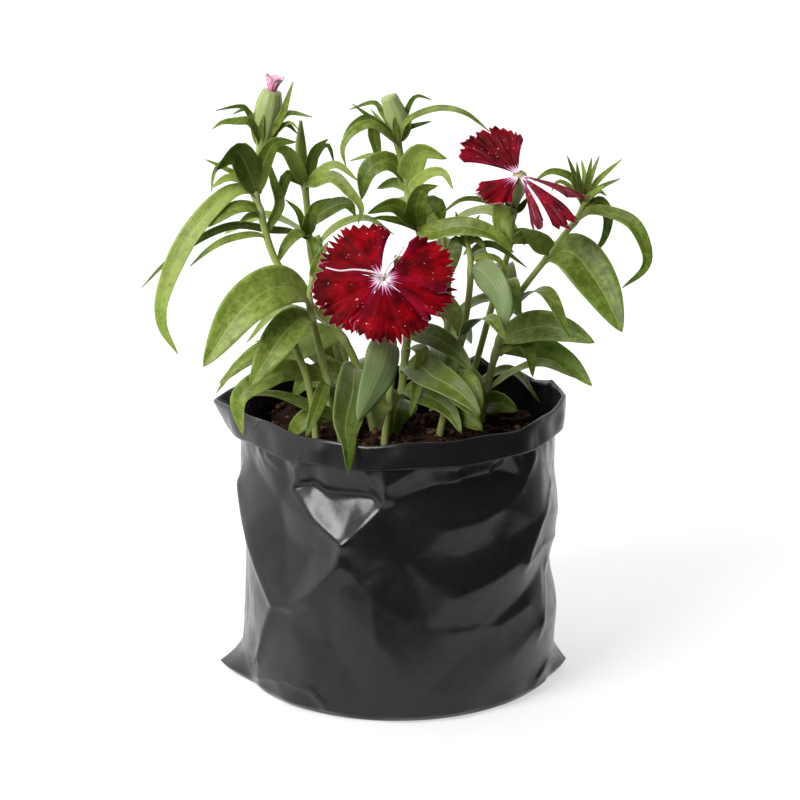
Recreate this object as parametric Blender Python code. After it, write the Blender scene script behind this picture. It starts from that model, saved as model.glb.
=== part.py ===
"""A bedding dianthus in a soft black plastic film bag, in metres, +Z up, base centre at the origin.

The bag is one crumpled shell with a folded cuff. The compost fills it to 12 mm under the rim and has a
plain hole for each stem. Every leafy stem is one solid: its stalk, its leaf pairs and its calyx are
joined. Petals and styles are solids of their own, seated in the calyx with a small gap.
The front of the plant looks along -Y.
"""
import bpy
import bmesh
import math
import random
from mathutils import Matrix, Vector
from mathutils.bvhtree import BVHTree
from mathutils.geometry import delaunay_2d_cdt

MM = 0.001

# Bag, in millimetres: bearings run from the front (0) over the right side (90) to the back (180).
BAG_HALF_WIDTH = 52.5
BAG_FRONT = 55.0
BAG_BACK = 50.0
BAG_SHIFT_RIGHT = 2.0
BAG_WALL = 0.9
RIM_HEIGHT = 95.8
RIM_WAVE = 0.5
RIM_BACK_DIP = 4.0
RIM_BUMPS = ((146, 5.0, 12), (127, 2.6, 11), (104, 2.6, 13))
CUFF_BOTTOM = 87.4
CUFF_PROUD = 1.4
CUFF_FOOT_CORNER = 0.35
LIP_WIDTH = 0.9
LIP_HEIGHT = 1.2
WALL_TOP = 88.0
WALL_FOOT = 2.6
FOOT_TUCK = 3.0
FLOOR_TUCK = 4.2
RIM_CORNERS = ((-90, 8.5, 30), (90, 3.0, 24))
FOOT_EARS = ((-90, 7.5, 22), (92, 5.0, 20))
RING_POINTS = 40

# Creases of the front: bearing in degrees, height, and how far the film stands out or in.
FRONT_CREASES = [
    (-79, 78, -0.6), (-68, 80, -1.4), (-52, 83, -0.4), (-37, 82, -0.4), (-39, 77, -3.0), (-31, 78, -4.4),
    (-25, 75, -4.6), (-13, 76, -4.6), (-6, 76, -3.6), (-2, 73, -1.2), (-2, 82, 1.0), (-28, 67, 0.6),
    (-9, 68, 0.8), (-16, 62, 1.8), (-47, 71, -1.6), (-44, 58, -2.8), (-31, 55, -2.6), (-22, 57, -0.6),
    (-18, 54, 2.2), (-25, 47, 2.6), (-31, 41, 2.6), (-38, 38, 2.2), (-13, 50, 0.4), (-21, 43, 0.4),
    (-28, 36, 0.2), (-40, 31, 0.2), (-75, 68, 1.8), (-64, 58, 2.6), (-55, 48, 2.8), (-47, 36, 2.4),
    (-60, 18, 0.4), (-84, 48, -2.4), (-80, 26, -2.0), (-88, 70, 0.2), (8, 78, -3.8), (18, 80, -5.0),
    (30, 81, -5.2), (42, 82, -4.4), (8, 70, 0.6), (19, 67, 1.6), (31, 68, 1.6), (41, 71, 1.2), (53, 77, 0.8),
    (64, 84, 0.4), (-6, 44, 1.8), (5, 56, -0.8), (23, 55, -1.0), (39, 58, -1.0), (22, 43, 1.4),
    (35, 46, 1.4), (50, 51, 1.8), (62, 62, 1.8), (80, 72, -0.8), (67, 45, -1.0), (76, 36, -2.0),
    (62, 25, 2.0), (84, 24, 1.2), (88, 58, 1.4), (-5, 29, 2.0), (5, 14, 1.2), (-22, 27, -1.0),
    (-32, 17, 1.0), (12, 34, -0.6), (36, 31, -1.0), (22, 20, -0.8), (40, 16, 0.8), (50, 37, -0.6),
]
EAR_TOP = 9.5
EAR_TOP_POINTS = 20
EAR_TOP_PUSH = 0.3
BACK_COLUMNS = 9
BACK_ROWS = (20, 38, 56, 74)
BACK_START = 98
BACK_SPAN = 164
BACK_STRAY = 5
BACK_PUSH = (-2.6, 1.6)
BACK_SEED = 7
DEGREE_WIDTH = 0.93

# Compost
SOIL_HEIGHT = 83.0
SOIL_RIPPLE = 1.1
SOIL_CROSS_RIPPLE = 0.8
SOIL_HEAP = 1.5
SOIL_HEAP_AREA = 900
SOIL_FLOOR = 1.4
SOIL_SEGMENTS = 28
SOIL_WALL_HEIGHTS = (3.5, 15, 30, 45, 60, 74)
SOIL_RINGS = (0.84, 0.6, 0.34)
SOIL_GAP = 0.9
SOIL_NEAR = (-7, -3.5, 0, 3.5, 7)
SOIL_FOOT = 3.5
SOIL_FOOT_TUCK = 3.0
FILM_HEIGHTS = (3.2, 86)
HOLE_DEPTH = 3.0
HOLE_TOP = 14.0
HOLE_GAP = 0.45

# Stems: points of the route with the radius there, from the compost up.
STEMS = {
    "left_bud_stem": [
        (-5, -3, 52, 1.3), (-5, -3, 77, 1.3), (-11, -6, 106, 1.3), (-18, -8, 121, 1.2), (-27, -8, 130, 1.2),
        (-38, -7, 144, 1.2), (-43, -6, 160, 1.2), (-45, -5, 169, 1.2), (-43, -5, 181, 1.4),
        (-42, -5, 185, 2.7), (-41, -5, 190, 3.7), (-40, -5, 196, 4.2), (-39, -5, 201, 3.0)],
    "spear_stem": [
        (-13, 5, 52, 1.2), (-13, 5, 77, 1.2), (-17, 7, 104, 1.2), (-24, 9, 128, 1.2), (-27, 9, 143, 1.1),
        (-28, 9, 157, 1.1), (-29, 9, 168, 1.3), (-30, 9, 178, 1.9), (-30, 8, 188, 0.5)],
    "middle_bud_stem": [
        (2, 6, 52, 1.3), (2, 6, 77, 1.3), (5, 8, 113, 1.3), (9, 9, 140, 1.2), (9, 8, 151, 1.1),
        (6, 6, 160, 1.1), (4, 5, 171, 1.1), (2, 5, 181, 1.4), (2, 5, 185, 2.6), (2, 5, 189, 3.6),
        (0, 5, 194, 3.1), (-1, 5, 197, 2.6)],
    "right_bud_stem": [
        (29, 8, 52, 1.3), (29, 8, 77, 1.3), (33, 10, 101, 1.2), (40, 13, 123, 1.1), (52, 15, 140, 1.0),
        (57, 15, 147, 1.0), (62, 14, 154, 1.0), (65, 14, 162, 1.2)],
    "side_bloom_stem": [
        (21, 14, 52, 1.2), (21, 14, 77, 1.2), (29, 17, 105, 1.1), (34, 18, 124, 1.1), (39, 16, 142, 1.0),
        (40, 13, 154, 1.2), (41, 9, 161, 1.6), (42, 5, 166, 2.3), (42, 0, 171, 2.5)],
    "front_bloom_stem": [
        (-4, -13, 52, 1.3), (-3, -13, 77, 1.3), (0, -10, 108, 1.2), (0, -5, 122, 1.1), (-2, -6, 129, 1.3),
        (-3, -11, 134, 2.3), (-3, -19, 141, 2.5)],
    "low_left_stem": [
        (-16, -14, 52, 1.4), (-16, -14, 80, 1.4), (-23, -15, 113, 1.3), (-27, -16, 132, 1.1),
        (-26, -15, 141, 0.8)],
    "low_right_stem": [
        (15, -5, 52, 1.3), (15, -5, 78, 1.3), (21, -6, 107, 1.2), (25, -4, 128, 1.1), (26, 0, 142, 1.0),
        (24, 2, 151, 0.8)],
    "back_left_stem": [
        (-14, 22, 52, 1.3), (-14, 23, 77, 1.3), (-20, 29, 114, 1.2), (-25, 32, 143, 0.8)],
    "back_right_stem": [
        (12, 25, 52, 1.3), (13, 25, 77, 1.3), (19, 31, 114, 1.2), (17, 34, 145, 0.8)],
    "cut_stem": [(-26, -19, 52, 1.2), (-25, -20, 83, 1.2), (-27, -22, 105, 1.2), (-32, -24, 121, 1.2)],
}
STEM_SPAN = 10.0
CURVE_STEPS = 12

# Leaves: height on the stem, points that the midrib passes with the tip last, width, and the way the
# upper face looks halfway along, in degrees from straight up (0) to the front (90).
LEAVES = {
    "left_bud_stem": [
        (107, [(-13, -28, 105), (-15, -48, 100), (-14, -58, 95), (-14, -61, 88)], 12.0, 90),
        (166, [(-53, -10, 168), (-66, -16, 155), (-74, -20, 138), (-75, -22, 127), (-70, -23, 117)], 7.0, 45),
        (167, [(-48, -12, 179), (-51, -15, 183), (-57, -20, 178)], 9.5, 60),
        (167, [(-42, -9, 177), (-38, -11, 185), (-31, -14, 186)], 5.6, 75),
        (161, [(-46, -9, 163), (-52, -12, 163), (-60, -16, 158)], 5.0, 50),
        (159, [(-46, -8, 160), (-50, -10, 158)], 2.5, 50),
        (152, [(-46, -10, 154), (-54, -13, 153), (-60, -15, 150), (-66, -17, 145)], 2.5, 60),
        (153, [(-37, 2, 161), (-39, 3, 169), (-41, 2, 177)], 3.5, 80),
        (169, [(-50, -8, 172), (-54, -10, 173), (-59, -12, 170)], 3.0, 50),
        (171, [(-52, -6, 174), (-57, -8, 177), (-61, -9, 179)], 1.8, 60),
        (172, [(-54, -4, 177), (-58, -6, 174), (-59, -8, 168)], 1.8, 50),
        (184, [(-47, -8, 195), (-50, -10, 197), (-57, -12, 196)], 1.8, 60),
        (185, [(-47, -3, 194), (-52, -4, 193)], 1.8, 60),
        (183, [(-46, -12, 192), (-50, -14, 193), (-55, -16, 193), (-58, -17, 191)], 3.0, 60),
        (184, [(-36, -2, 191), (-33, -2, 193), (-26, -4, 192)], 2.0, 60),
        (183, [(-34, -8, 191), (-30, -10, 189)], 1.6, 60),
        (182, [(-37, 2, 187), (-34, 2, 188), (-31, 2, 185)], 2.4, 60),
        (184, [(-36, -9, 193), (-34, -10, 199), (-32, -9, 205)], 2.6, 70),
        (118, [(-27, -1, 116), (-36, 3, 109), (-41, 4, 99)], 11.0, 70),
        (100, [(-20, 0, 104), (-29, 3, 100), (-33, 4, 94)], 9.0, 70),
    ],
    "low_left_stem": [
        (133, [(-37, -24, 140), (-49, -32, 134), (-61, -38, 117)], 15.0, 62),
        (127, [(-35, -26, 125), (-46, -36, 110)], 11.5, 62),
        (106, [(-33, -22, 111), (-41, -27, 110), (-50, -33, 105), (-49, -36, 93)], 8.0, 55),
        (118, [(-37, -4, 116), (-50, -8, 110), (-58, -14, 101)], 4.0, 50),
        (138, [(-24, -6, 144), (-21, -4, 150)], 4.0, 80),
        (104, [(-24, -26, 101), (-28, -34, 92)], 5.0, 70),
        (93, [(-25, -22, 96), (-31, -28, 94), (-34, -31, 90)], 7.0, 65),
    ],
    "right_bud_stem": [
        (140, [(60, 8, 143), (69, 1, 133), (76, -7, 120)], 15.0, 65),
        (152, [(66, 10, 157), (73, 6, 157), (80, 2, 154), (84, -1, 146), (83, -2, 140),
               (76, -3, 134)], 5.0, 45),
        (153, [(68, 19, 157), (72, 20, 153), (71, 21, 145), (67, 20, 139)], 3.7, 50),
        (141, [(48, 9, 147), (43, 4, 152)], 7.0, 70),
        (158, [(60, 10, 167), (57, 8, 170), (52, 7, 171), (47, 6, 168)], 3.0, 50),
        (158, [(59, 15, 164), (55, 14, 166), (53, 13, 163)], 1.8, 50),
        (159, [(61, 14, 167), (58, 13, 175)], 1.8, 75),
        (160, [(62, 10, 167), (61, 8, 174)], 1.8, 80),
        (160, [(64, 18, 167), (63, 20, 172)], 1.8, 75),
        (161, [(65, 11, 168), (66, 10, 175)], 1.8, 80),
        (160, [(66, 18, 166), (69, 21, 173)], 1.8, 60),
        (159, [(68, 14, 166), (76, 12, 174)], 2.0, 60),
        (159, [(69, 17, 163), (76, 18, 166)], 1.8, 50),
        (158, [(68, 9, 164), (71, 6, 163)], 2.4, 50),
        (159, [(67, 7, 164), (70, 4, 167)], 2.4, 60),
        (159, [(61, 7, 165), (59, 4, 170)], 1.8, 70),
        (156, [(69, 11, 161), (74, 10, 156)], 1.8, 50),
        (112, [(48, 3, 119), (58, -2, 119), (67, -6, 116)], 11.0, 62),
        (108, [(46, 18, 108), (58, 14, 104), (67, 8, 97)], 9.5, 60),
        (107, [(42, 8, 113), (46, 6, 109), (47, 5, 101)], 5.0, 60),
        (89, [(36, 2, 93), (42, -1, 91)], 8.0, 70),
    ],
    "side_bloom_stem": [
        (155, [(37, 5, 160), (36, 0, 155), (39, -3, 146)], 6.5, 60),
        (145, [(46, 4, 150), (53, 0, 147)], 5.0, 65),
        (154, [(35, 6, 160), (24, 2, 163), (16, 1, 158)], 2.2, 50),
        (148, [(51, 20, 145), (56, 24, 141)], 2.2, 50),
    ],
    "spear_stem": [
        (166, [(-31, 3, 173), (-35, 0, 180), (-41, -3, 181)], 5.0, 70),
        (147, [(-33, 5, 151), (-40, 0, 153), (-51, -6, 156), (-62, -10, 153), (-74, -13, 145),
               (-82, -14, 137)], 3.0, 55),
        (166, [(-32, 4, 170), (-35, 2, 170), (-37, 0, 161)], 4.0, 55),
        (150, [(-29, 4, 153), (-31, 2, 159), (-35, 1, 163)], 2.5, 70),
        (166, [(-27, 6, 172), (-25, 5, 179), (-21, 3, 183)], 4.0, 75),
        (168, [(-24, 11, 177), (-21, 11, 179), (-19, 10, 173)], 2.0, 50),
        (165, [(-24, 2, 172), (-18, 0, 175), (-11, -2, 170)], 3.2, 50),
        (165, [(-24, -2, 170), (-19, -5, 172), (-14, -8, 168), (-10, -10, 163), (-11, -11, 158)], 4.5, 55),
        (149, [(-27, 0, 156), (-25, -3, 162), (-20, -5, 165)], 4.5, 75),
        (152, [(-22, 6, 158), (-15, 4, 161), (-12, 3, 157)], 6.0, 50),
        (148, [(-31, 3, 151), (-35, -1, 148), (-38, -3, 142)], 4.0, 60),
        (147, [(-26, 2, 148), (-25, -1, 141)], 3.5, 60),
        (108, [(-30, 8, 112), (-45, 10, 108), (-58, 11, 97)], 7.0, 60),
    ],
    "middle_bud_stem": [
        (103, [(15, -18, 107), (23, -26, 104), (29, -32, 99)], 11.5, 65),
        (163, [(6, 3, 172), (10, -1, 180), (18, -4, 178)], 8.5, 72),
        (152, [(8, -2, 161), (10, -5, 168), (15, -8, 170)], 7.5, 75),
        (169, [(1, 3, 174), (-3, 1, 176), (-8, -1, 173), (-10, -2, 164)], 7.5, 50),
        (151, [(13, 1, 152), (23, -3, 155), (33, -5, 153), (40, -7, 147)], 7.0, 55),
        (180, [(-1, -2, 185), (-7, -6, 190), (-13, -9, 188), (-16, -10, 183), (-15, -10, 177)], 3.4, 50),
        (183, [(-3, 7, 186), (-6, 8, 185), (-5, 7, 179), (-4, 6, 173)], 4.2, 60),
        (182, [(4, 1, 188), (8, -1, 192), (16, -4, 195), (24, -7, 194), (32, -8, 188)], 2.4, 55),
        (182, [(-3, 3, 187), (-8, 0, 191), (-13, -2, 189), (-16, -3, 185)], 2.4, 50),
        (163, [(7, -1, 168), (12, -4, 173), (17, -7, 174), (20, -9, 169)], 4.0, 50),
        (153, [(5, 0, 158), (1, -3, 162), (-3, -5, 162), (-8, -6, 160)], 6.0, 60),
        (153, [(11, 6, 159), (15, 5, 160), (17, 4, 154)], 6.5, 55),
        (165, [(1, 8, 167), (-5, 8, 165)], 4.0, 50),
        (171, [(-1, 12, 174), (-7, 13, 175), (-14, 14, 173)], 2.4, 50),
        (151, [(4, 2, 155), (-3, 0, 157), (-7, -1, 157)], 3.0, 50),
        (183, [(-3, 9, 190), (-6, 9, 194), (-14, 7, 192)], 1.8, 60),
        (181, [(-2, 2, 187), (-7, 0, 191), (-13, -2, 196)], 1.8, 75),
        (182, [(-3, 8, 187), (-7, 8, 192)], 1.6, 75),
        (184, [(5, 6, 192), (8, 5, 197), (13, 4, 196)], 1.8, 60),
        (182, [(5, 5, 186), (13, 3, 189)], 1.8, 60),
        (93, [(2, -4, 93), (1, -10, 91), (0, -13, 83)], 12.5, 80),
        (95, [(12, -8, 98), (19, -14, 95), (23, -20, 89)], 7.5, 60),
        (109, [(10, -2, 112), (9, -5, 104), (6, -8, 91)], 5.0, 85),
        (114, [(12, 0, 117), (20, -6, 114), (27, -10, 107)], 8.0, 60),
    ],
    "low_right_stem": [
        (139, [(32, -14, 140), (36, -20, 133), (36, -22, 124)], 10.0, -80),
        (144, [(33, 8, 146), (45, 12, 137)], 2.5, 50),
        (142, [(34, 2, 143), (40, 2, 136)], 2.2, 50),
        (147, [(28, -1, 150), (31, -3, 147)], 2.5, 60),
        (147, [(21, -1, 150), (18, -3, 147)], 2.5, 60),
        (149, [(22, 2, 155), (21, 1, 159)], 1.8, 75),
        (148, [(27, 3, 154), (29, 4, 157)], 2.0, 75),
        (93, [(23, -14, 94), (30, -20, 90)], 8.0, 60),
        (103, [(22, -13, 104), (26, -20, 100), (28, -24, 95)], 12.0, 70),
    ],
    "front_bloom_stem": [
        (116, [(-4, -28, 112), (-11, -42, 100)], 12.0, -85),
        (96, [(-5, -22, 98), (-4, -31, 93)], 8.0, 85),
    ],
}

# Leaf pairs on the sides that face away, placed by a rule: heights of the pairs on each stem, and the
# bearing of the lowest pair.
FILL_PAIRS = {
    "back_left_stem": ((95, 110, 125, 140), 200),
    "back_right_stem": ((98, 113, 128, 143), 160),
    "side_bloom_stem": ((92, 126), 120),
    "spear_stem": ((99, 122), 230),
    "right_bud_stem": ((95, 122), 110),
    "low_left_stem": ((90,), 300),
    "low_right_stem": ((118,), 40),
    "left_bud_stem": ((92,), 250),
    "middle_bud_stem": ((130,), 180),
}
FILL_SEED = 11
FILL_LENGTH = (24.0, 38.0)
FILL_WIDTH = (5.5, 9.0)
FILL_STRAY = 18
FILL_DROOP = (-0.15, 0.35)
FILL_FACING = 12
FILL_MIDDLE = (0.52, 0.30)
FILL_TIP = 0.93

LEAF_THICKNESS = 0.62
LEAF_FOLD = 0.22
LEAF_NARROW = 2.6
LEAF_BASE_SHARE = 0.42
LEAF_LOW_MIDDLE = 0.75
LEAF_FULLNESS = 0.7
LEAF_LEAVES_ALONG = 1.5
LEAF_LEAVES_OUT = 1.0
LEAF_TIP_HALF = 0.4
LEAF_GAP = 0.35
LEAF_SPAN = 7.5
MOST_SPANS = 7
LEAF_SHORTER = (1.0, 0.8, 0.62)
ROOT_OUT = 0.45
SIGHT_LINE = (0.0, 1.0, -0.296)
SIGHT_SHIFTS = (0, 4, -4, 8, -8, 12, -12, 16, -16, 21, -21, 26, -26)
LIFTS = (0, 3, -3, 6, -6)
TURNS = (0, 9, -9, 18, -18, 27, -27, 38, -38, 50, -50)

# Blooms: the stem whose calyx each sits in, then the petals: angle round the face, length, spread in
# degrees, how far the petal bends back at its edge, its twist in degrees and how much longer one side is.
BLOOMS = {
    "front_bloom_petals": {
        "stem": "front_bloom_stem",
        "petals": [(127, 24.5, 92, 3.0, -6, 0.1), (22, 25.5, 76, 2.0, -8, 0.0),
                   (-16, 25.2, 62, 3.0, -9, 0.0), (-78, 23.8, 98, 2.5, -8, 0.0),
                   (-156, 24.2, 90, 3.0, -9, -0.1)],
    },
    "side_bloom_petals": {
        "stem": "side_bloom_stem",
        "petals": [(122, 21.5, 80, -1.0, -8, 0.5), (216, 15.5, 78, 2.0, 20, -0.2),
                   (-71, 20.0, 24, 4.0, 60, 0.0), (-45, 25.0, 23, 5.0, 25, 0.0),
                   (-18, 23.5, 26, 3.0, -40, 0.0)],
    },
}
PETAL_THICKNESS = 0.6
PETAL_CLAW = 1.0
PETAL_RISE = 0.9
PETAL_TOOTH_SPREAD = 16
PETAL_FEWEST_TEETH = 2
PETAL_TOOTH_DEPTH = 0.085
PETAL_ROWS = 3
PETAL_RUFFLE = 0.7
PETAL_RUFFLE_TURNS = 5
PETAL_SIDE_SHORTER = 0.2
PETAL_CLAW_SPREAD = 0.7
THROAT_RADIUS = 1.4
THROAT_DEPTH = 4.0
THROAT_FLARE = 1.9
THROAT_LIFTS = (0.2, 1.6)
MOUTH_RADIUS = 1.78
MOUTH_DEPTH = 5.0
MOUTH_ABOVE = 3.0
STYLE_HOLE_RADIUS = 0.85
STYLE_HOLE_LIFTS = (-2.2, 4.0)
STYLE_ROOT_LIFTS = (-1.6, 2.2)
STYLE_LIFT = 1.8
STYLE_RADIUS = 0.42
STYLE_THINNER = 0.9
STYLE_SPANS = 5
STYLE_ROUTES = (((-3.2, 1.0, 3.8), (-9.0, 1.6, 4.4), (-14.0, 1.4, 4.0), (-18.5, 2.8, 3.4)),
                ((1.8, 3.0, 3.8), (5.0, 6.6, 4.4), (6.8, 10.0, 4.0)))
BRACTS = {"left_bud_stem": (182, 12.0, 3.4), "middle_bud_stem": (182, 9.0, 3.0),
          "side_bloom_stem": (156, 9.0, 2.4), "front_bloom_stem": (128, 9.0, 2.4)}
BRACT_COUNT = 4
BRACT_TURN = 0.3
BRACT_WIDTH = 2.4
BRACT_MIDDLE = (0.5, 1.1)
BRACT_TIP_OUT = 1.2
BRACT_FACING = 60
BUD_TIP_STEM = "left_bud_stem"
BUD_TIP_POINTS = 5
BUD_TIP_LENGTH = 5.2
BUD_TIP_RADIUS = 2.9
BUD_TIP_FOOT = (1.5, 1.15)
BUD_TIP_HALF = (0.65, 1.2)
BUD_TIP_SHORTER = 0.8
BUD_CORE = ((1.0, 1.4), (2.6, 1.9), (3.2, 1.0))

COLOURS = {
    "bag": ((0.012, 0.012, 0.013), 0.3),
    "soil": ((0.018, 0.009, 0.006), 0.95),
    "stem": ((0.22, 0.33, 0.11), 0.5),
    "crimson": ((0.42, 0.0, 0.012), 0.6),
    "pink": ((0.72, 0.24, 0.45), 0.6),
    "white": ((0.85, 0.8, 0.85), 0.6),
}


def clear_scene():
    for thing in list(bpy.data.objects):
        bpy.data.objects.remove(thing, do_unlink=True)


def new_collection(name):
    collection = bpy.data.collections.new(name)
    bpy.context.scene.collection.children.link(collection)
    return collection


def new_material(name, kind):
    colour, roughness = COLOURS[kind]
    material = bpy.data.materials.new(name)
    material.use_nodes = True
    shader = material.node_tree.nodes["Principled BSDF"]
    shader.inputs["Base Color"].default_value = (*colour, 1.0)
    shader.inputs["Roughness"].default_value = roughness
    shader.inputs["Metallic"].default_value = 0.0
    return material


def mesh_object(name, points, faces, collection):
    """Make one object of points in millimetres and faces, with its faces turned outward."""
    mesh = bpy.data.meshes.new(name)
    mesh.from_pydata([Vector(point) * MM for point in points], [], faces)
    work = bmesh.new()
    work.from_mesh(mesh)
    bmesh.ops.recalc_face_normals(work, faces=work.faces)
    work.to_mesh(mesh)
    work.free()
    thing = bpy.data.objects.new(name, mesh)
    collection.objects.link(thing)
    return thing


def evaluated_mesh(thing):
    graph = bpy.context.evaluated_depsgraph_get()
    return bpy.data.meshes.new_from_object(thing.evaluated_get(graph))


def cut(thing, cutter):
    """Cut the cutter's shape out of thing for good, and drop the cutter."""
    modifier = thing.modifiers.new("cut", "BOOLEAN")
    modifier.operation = "DIFFERENCE"
    modifier.object = cutter
    thing.data = evaluated_mesh(thing)
    thing.modifiers.clear()
    bpy.data.objects.remove(cutter)


def join_all(thing, repeats):
    """Join every object of the collection to thing in one union, and drop the collection."""
    modifier = thing.modifiers.new("join", "BOOLEAN")
    modifier.operation = "UNION"
    modifier.operand_type = "COLLECTION"
    modifier.collection = repeats
    thing.data = evaluated_mesh(thing)
    thing.modifiers.clear()
    for piece in list(repeats.objects):
        bpy.data.objects.remove(piece)
    bpy.data.collections.remove(repeats)


def smooth_route(points, spans, leave=None):
    """Points at even steps along a smooth curve through the given ones, which may set out along leave."""
    before = points[0] * 2 - points[1]
    if leave is not None:
        before = points[1] - leave * (points[1] - points[0]).length
    ends = [before, *points, points[-1] * 2 - points[-2]]
    fine = []
    for a, b, c, d in zip(ends, ends[1:], ends[2:], ends[3:]):
        for step in range(CURVE_STEPS):
            t = step / CURVE_STEPS
            fine.append(0.5 * ((b * 2) + (c - a) * t + (a * 2 - b * 5 + c * 4 - d) * t * t
                               + (b * 3 - a - c * 3 + d) * t * t * t))
    fine.append(points[-1].copy())
    walked = [0.0]
    for a, b in zip(fine, fine[1:]):
        walked.append(walked[-1] + (b - a).to_3d().length)
    route = []
    place = 0
    for step in range(spans + 1):
        target = walked[-1] * step / spans
        while place < len(fine) - 2 and walked[place + 1] < target:
            place += 1
        share = (target - walked[place]) / max(walked[place + 1] - walked[place], 1e-9)
        route.append(fine[place].lerp(fine[place + 1], min(max(share, 0.0), 1.0)))
    return route


# Bag

def around(bearing, radius, height):
    angle = math.radians(bearing)
    return Vector((radius * math.sin(angle), -radius * math.cos(angle), height))


def apart(a, b):
    """How far two bearings are apart, 0 to 180."""
    return abs((a - b + 180) % 360 - 180)


def bag_outline(bearing):
    """Radius of the uncrumpled bag."""
    angle = math.radians(bearing)
    depth = (BAG_FRONT + BAG_BACK) / 2 + (BAG_FRONT - BAG_BACK) / 2 * math.cos(angle)
    radius = 1 / math.hypot(math.sin(angle) / BAG_HALF_WIDTH, math.cos(angle) / depth)
    return radius + BAG_SHIFT_RIGHT * math.sin(angle)


def bumps(bearing, corners):
    return sum(size * max(0.0, 1 - apart(bearing, at) / reach) ** 1.3 for at, size, reach in corners)


def rim_height(bearing):
    back = max(0.0, -math.cos(math.radians(bearing)))
    wave = RIM_WAVE * math.sin(math.radians(5 * bearing))
    return RIM_HEIGHT - RIM_BACK_DIP * back ** 1.5 + wave + bumps(bearing, RIM_BUMPS)


def crease_points():
    """Bearing, height and push of each corner of the film's facets between foot and cuff."""
    draw = random.Random(BACK_SEED)
    points = list(FRONT_CREASES)
    points += [((step + 0.5) * 360 / EAR_TOP_POINTS, EAR_TOP, EAR_TOP_PUSH) for step in range(EAR_TOP_POINTS)]
    for row, height in enumerate(BACK_ROWS):
        for column in range(BACK_COLUMNS):
            bearing = BACK_START + (column + 0.5 * (row % 2)) * BACK_SPAN / BACK_COLUMNS
            points.append((bearing + draw.uniform(-BACK_STRAY, BACK_STRAY),
                           height + draw.uniform(-BACK_STRAY, BACK_STRAY), draw.uniform(*BACK_PUSH)))
    return points


def facet_grid():
    """Facets of the wall: corners as (bearing, height, push) and triangles of corner numbers.

    The first and second RING_POINTS corners are the foot ring and the top ring."""
    ring = [step * 360 / RING_POINTS for step in range(RING_POINTS)]
    corners = [(bearing, WALL_FOOT, 0.0) for bearing in ring]
    corners += [(bearing, WALL_TOP, 0.0) for bearing in ring]
    corners += crease_points()
    count = len(corners)
    sheet = [Vector(((bearing % 360 + turn) * DEGREE_WIDTH, height))
             for turn in (-360, 0, 360) for bearing, height, _ in corners]
    triangles = delaunay_2d_cdt(sheet, [], [], 0, 0.0001)
    places, faces, origins = triangles[0], triangles[2], triangles[3]
    kept = []
    for face in faces:
        middle = sum(places[corner].x for corner in face) / 3
        if 0 <= middle < 360 * DEGREE_WIDTH:
            kept.append([origins[corner][0] % count for corner in face])
    return corners, kept


def make_bag(collection):
    corners, facets = facet_grid()
    outer = []
    inner = []
    for bearing, height, push in corners:
        radius = bag_outline(bearing) + push
        ear = bumps(bearing, FOOT_EARS) if height <= WALL_FOOT else 0.0
        outer.append(around(bearing, radius + ear, height))
        inner.append(around(bearing, radius - BAG_WALL, height))
    points = outer + inner
    faces = [list(facet) for facet in facets]
    faces += [[corner + len(outer) for corner in reversed(facet)] for facet in facets]
    foot = list(range(RING_POINTS))
    top = list(range(RING_POINTS, 2 * RING_POINTS))
    ring = [step * 360 / RING_POINTS for step in range(RING_POINTS)]

    def add_ring(radius_of, height_of):
        start = len(points)
        points.extend(around(bearing, radius_of(bearing), height_of(bearing)) for bearing in ring)
        return list(range(start, start + RING_POINTS))

    def bridge(lower, upper):
        for a in range(RING_POINTS):
            b = (a + 1) % RING_POINTS
            faces.append([lower[a], lower[b], upper[b]])
            faces.append([lower[a], upper[b], upper[a]])

    def rim(bearing):
        return bag_outline(bearing) + bumps(bearing, RIM_CORNERS)

    def cuff_foot(bearing):
        return bag_outline(bearing) + CUFF_FOOT_CORNER * bumps(bearing, RIM_CORNERS) + CUFF_PROUD

    cuff = [
        add_ring(cuff_foot, lambda bearing: CUFF_BOTTOM),
        add_ring(lambda bearing: rim(bearing) + LIP_WIDTH, lambda bearing: rim_height(bearing) - LIP_HEIGHT),
        add_ring(rim, rim_height),
        add_ring(lambda bearing: rim(bearing) - LIP_WIDTH, lambda bearing: rim_height(bearing) - LIP_HEIGHT),
    ]
    inner_top = [corner + len(outer) for corner in top]
    for lower, upper in zip([top, *cuff], [*cuff, inner_top]):
        bridge(lower, upper)
    sole = add_ring(lambda bearing: bag_outline(bearing) - FOOT_TUCK + bumps(bearing, FOOT_EARS),
                    lambda bearing: 0.0)
    floor = add_ring(lambda bearing: bag_outline(bearing) - FLOOR_TUCK, lambda bearing: BAG_WALL)
    bridge(sole, foot)
    bridge([corner + len(outer) for corner in foot], floor)
    faces.append(list(reversed(sole)))
    faces.append(floor)
    bag = mesh_object("bag", points, faces, collection)
    bag.data.materials.append(new_material("black polythene film", "bag"))
    return bag


# Compost

def soil_top(x, y):
    """Height of the bumpy compost surface, a little higher round the stems."""
    ripple = SOIL_RIPPLE * math.sin(0.31 * x + 0.6) * math.cos(0.27 * y - 0.4)
    ripple += SOIL_CROSS_RIPPLE * math.sin(0.55 * y + 0.2 * x)
    return SOIL_HEIGHT + ripple + SOIL_HEAP * math.exp(-(x * x + y * y) / SOIL_HEAP_AREA)


def film_radius(film, bearing, height):
    """Radius where a level ray from the axis meets the inside of the film."""
    start = Vector((0.0, 0.0, height)) * MM
    hit = film.ray_cast(start, around(bearing, 1, 0))
    return hit[3] / MM if hit[0] else 0.0


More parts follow.
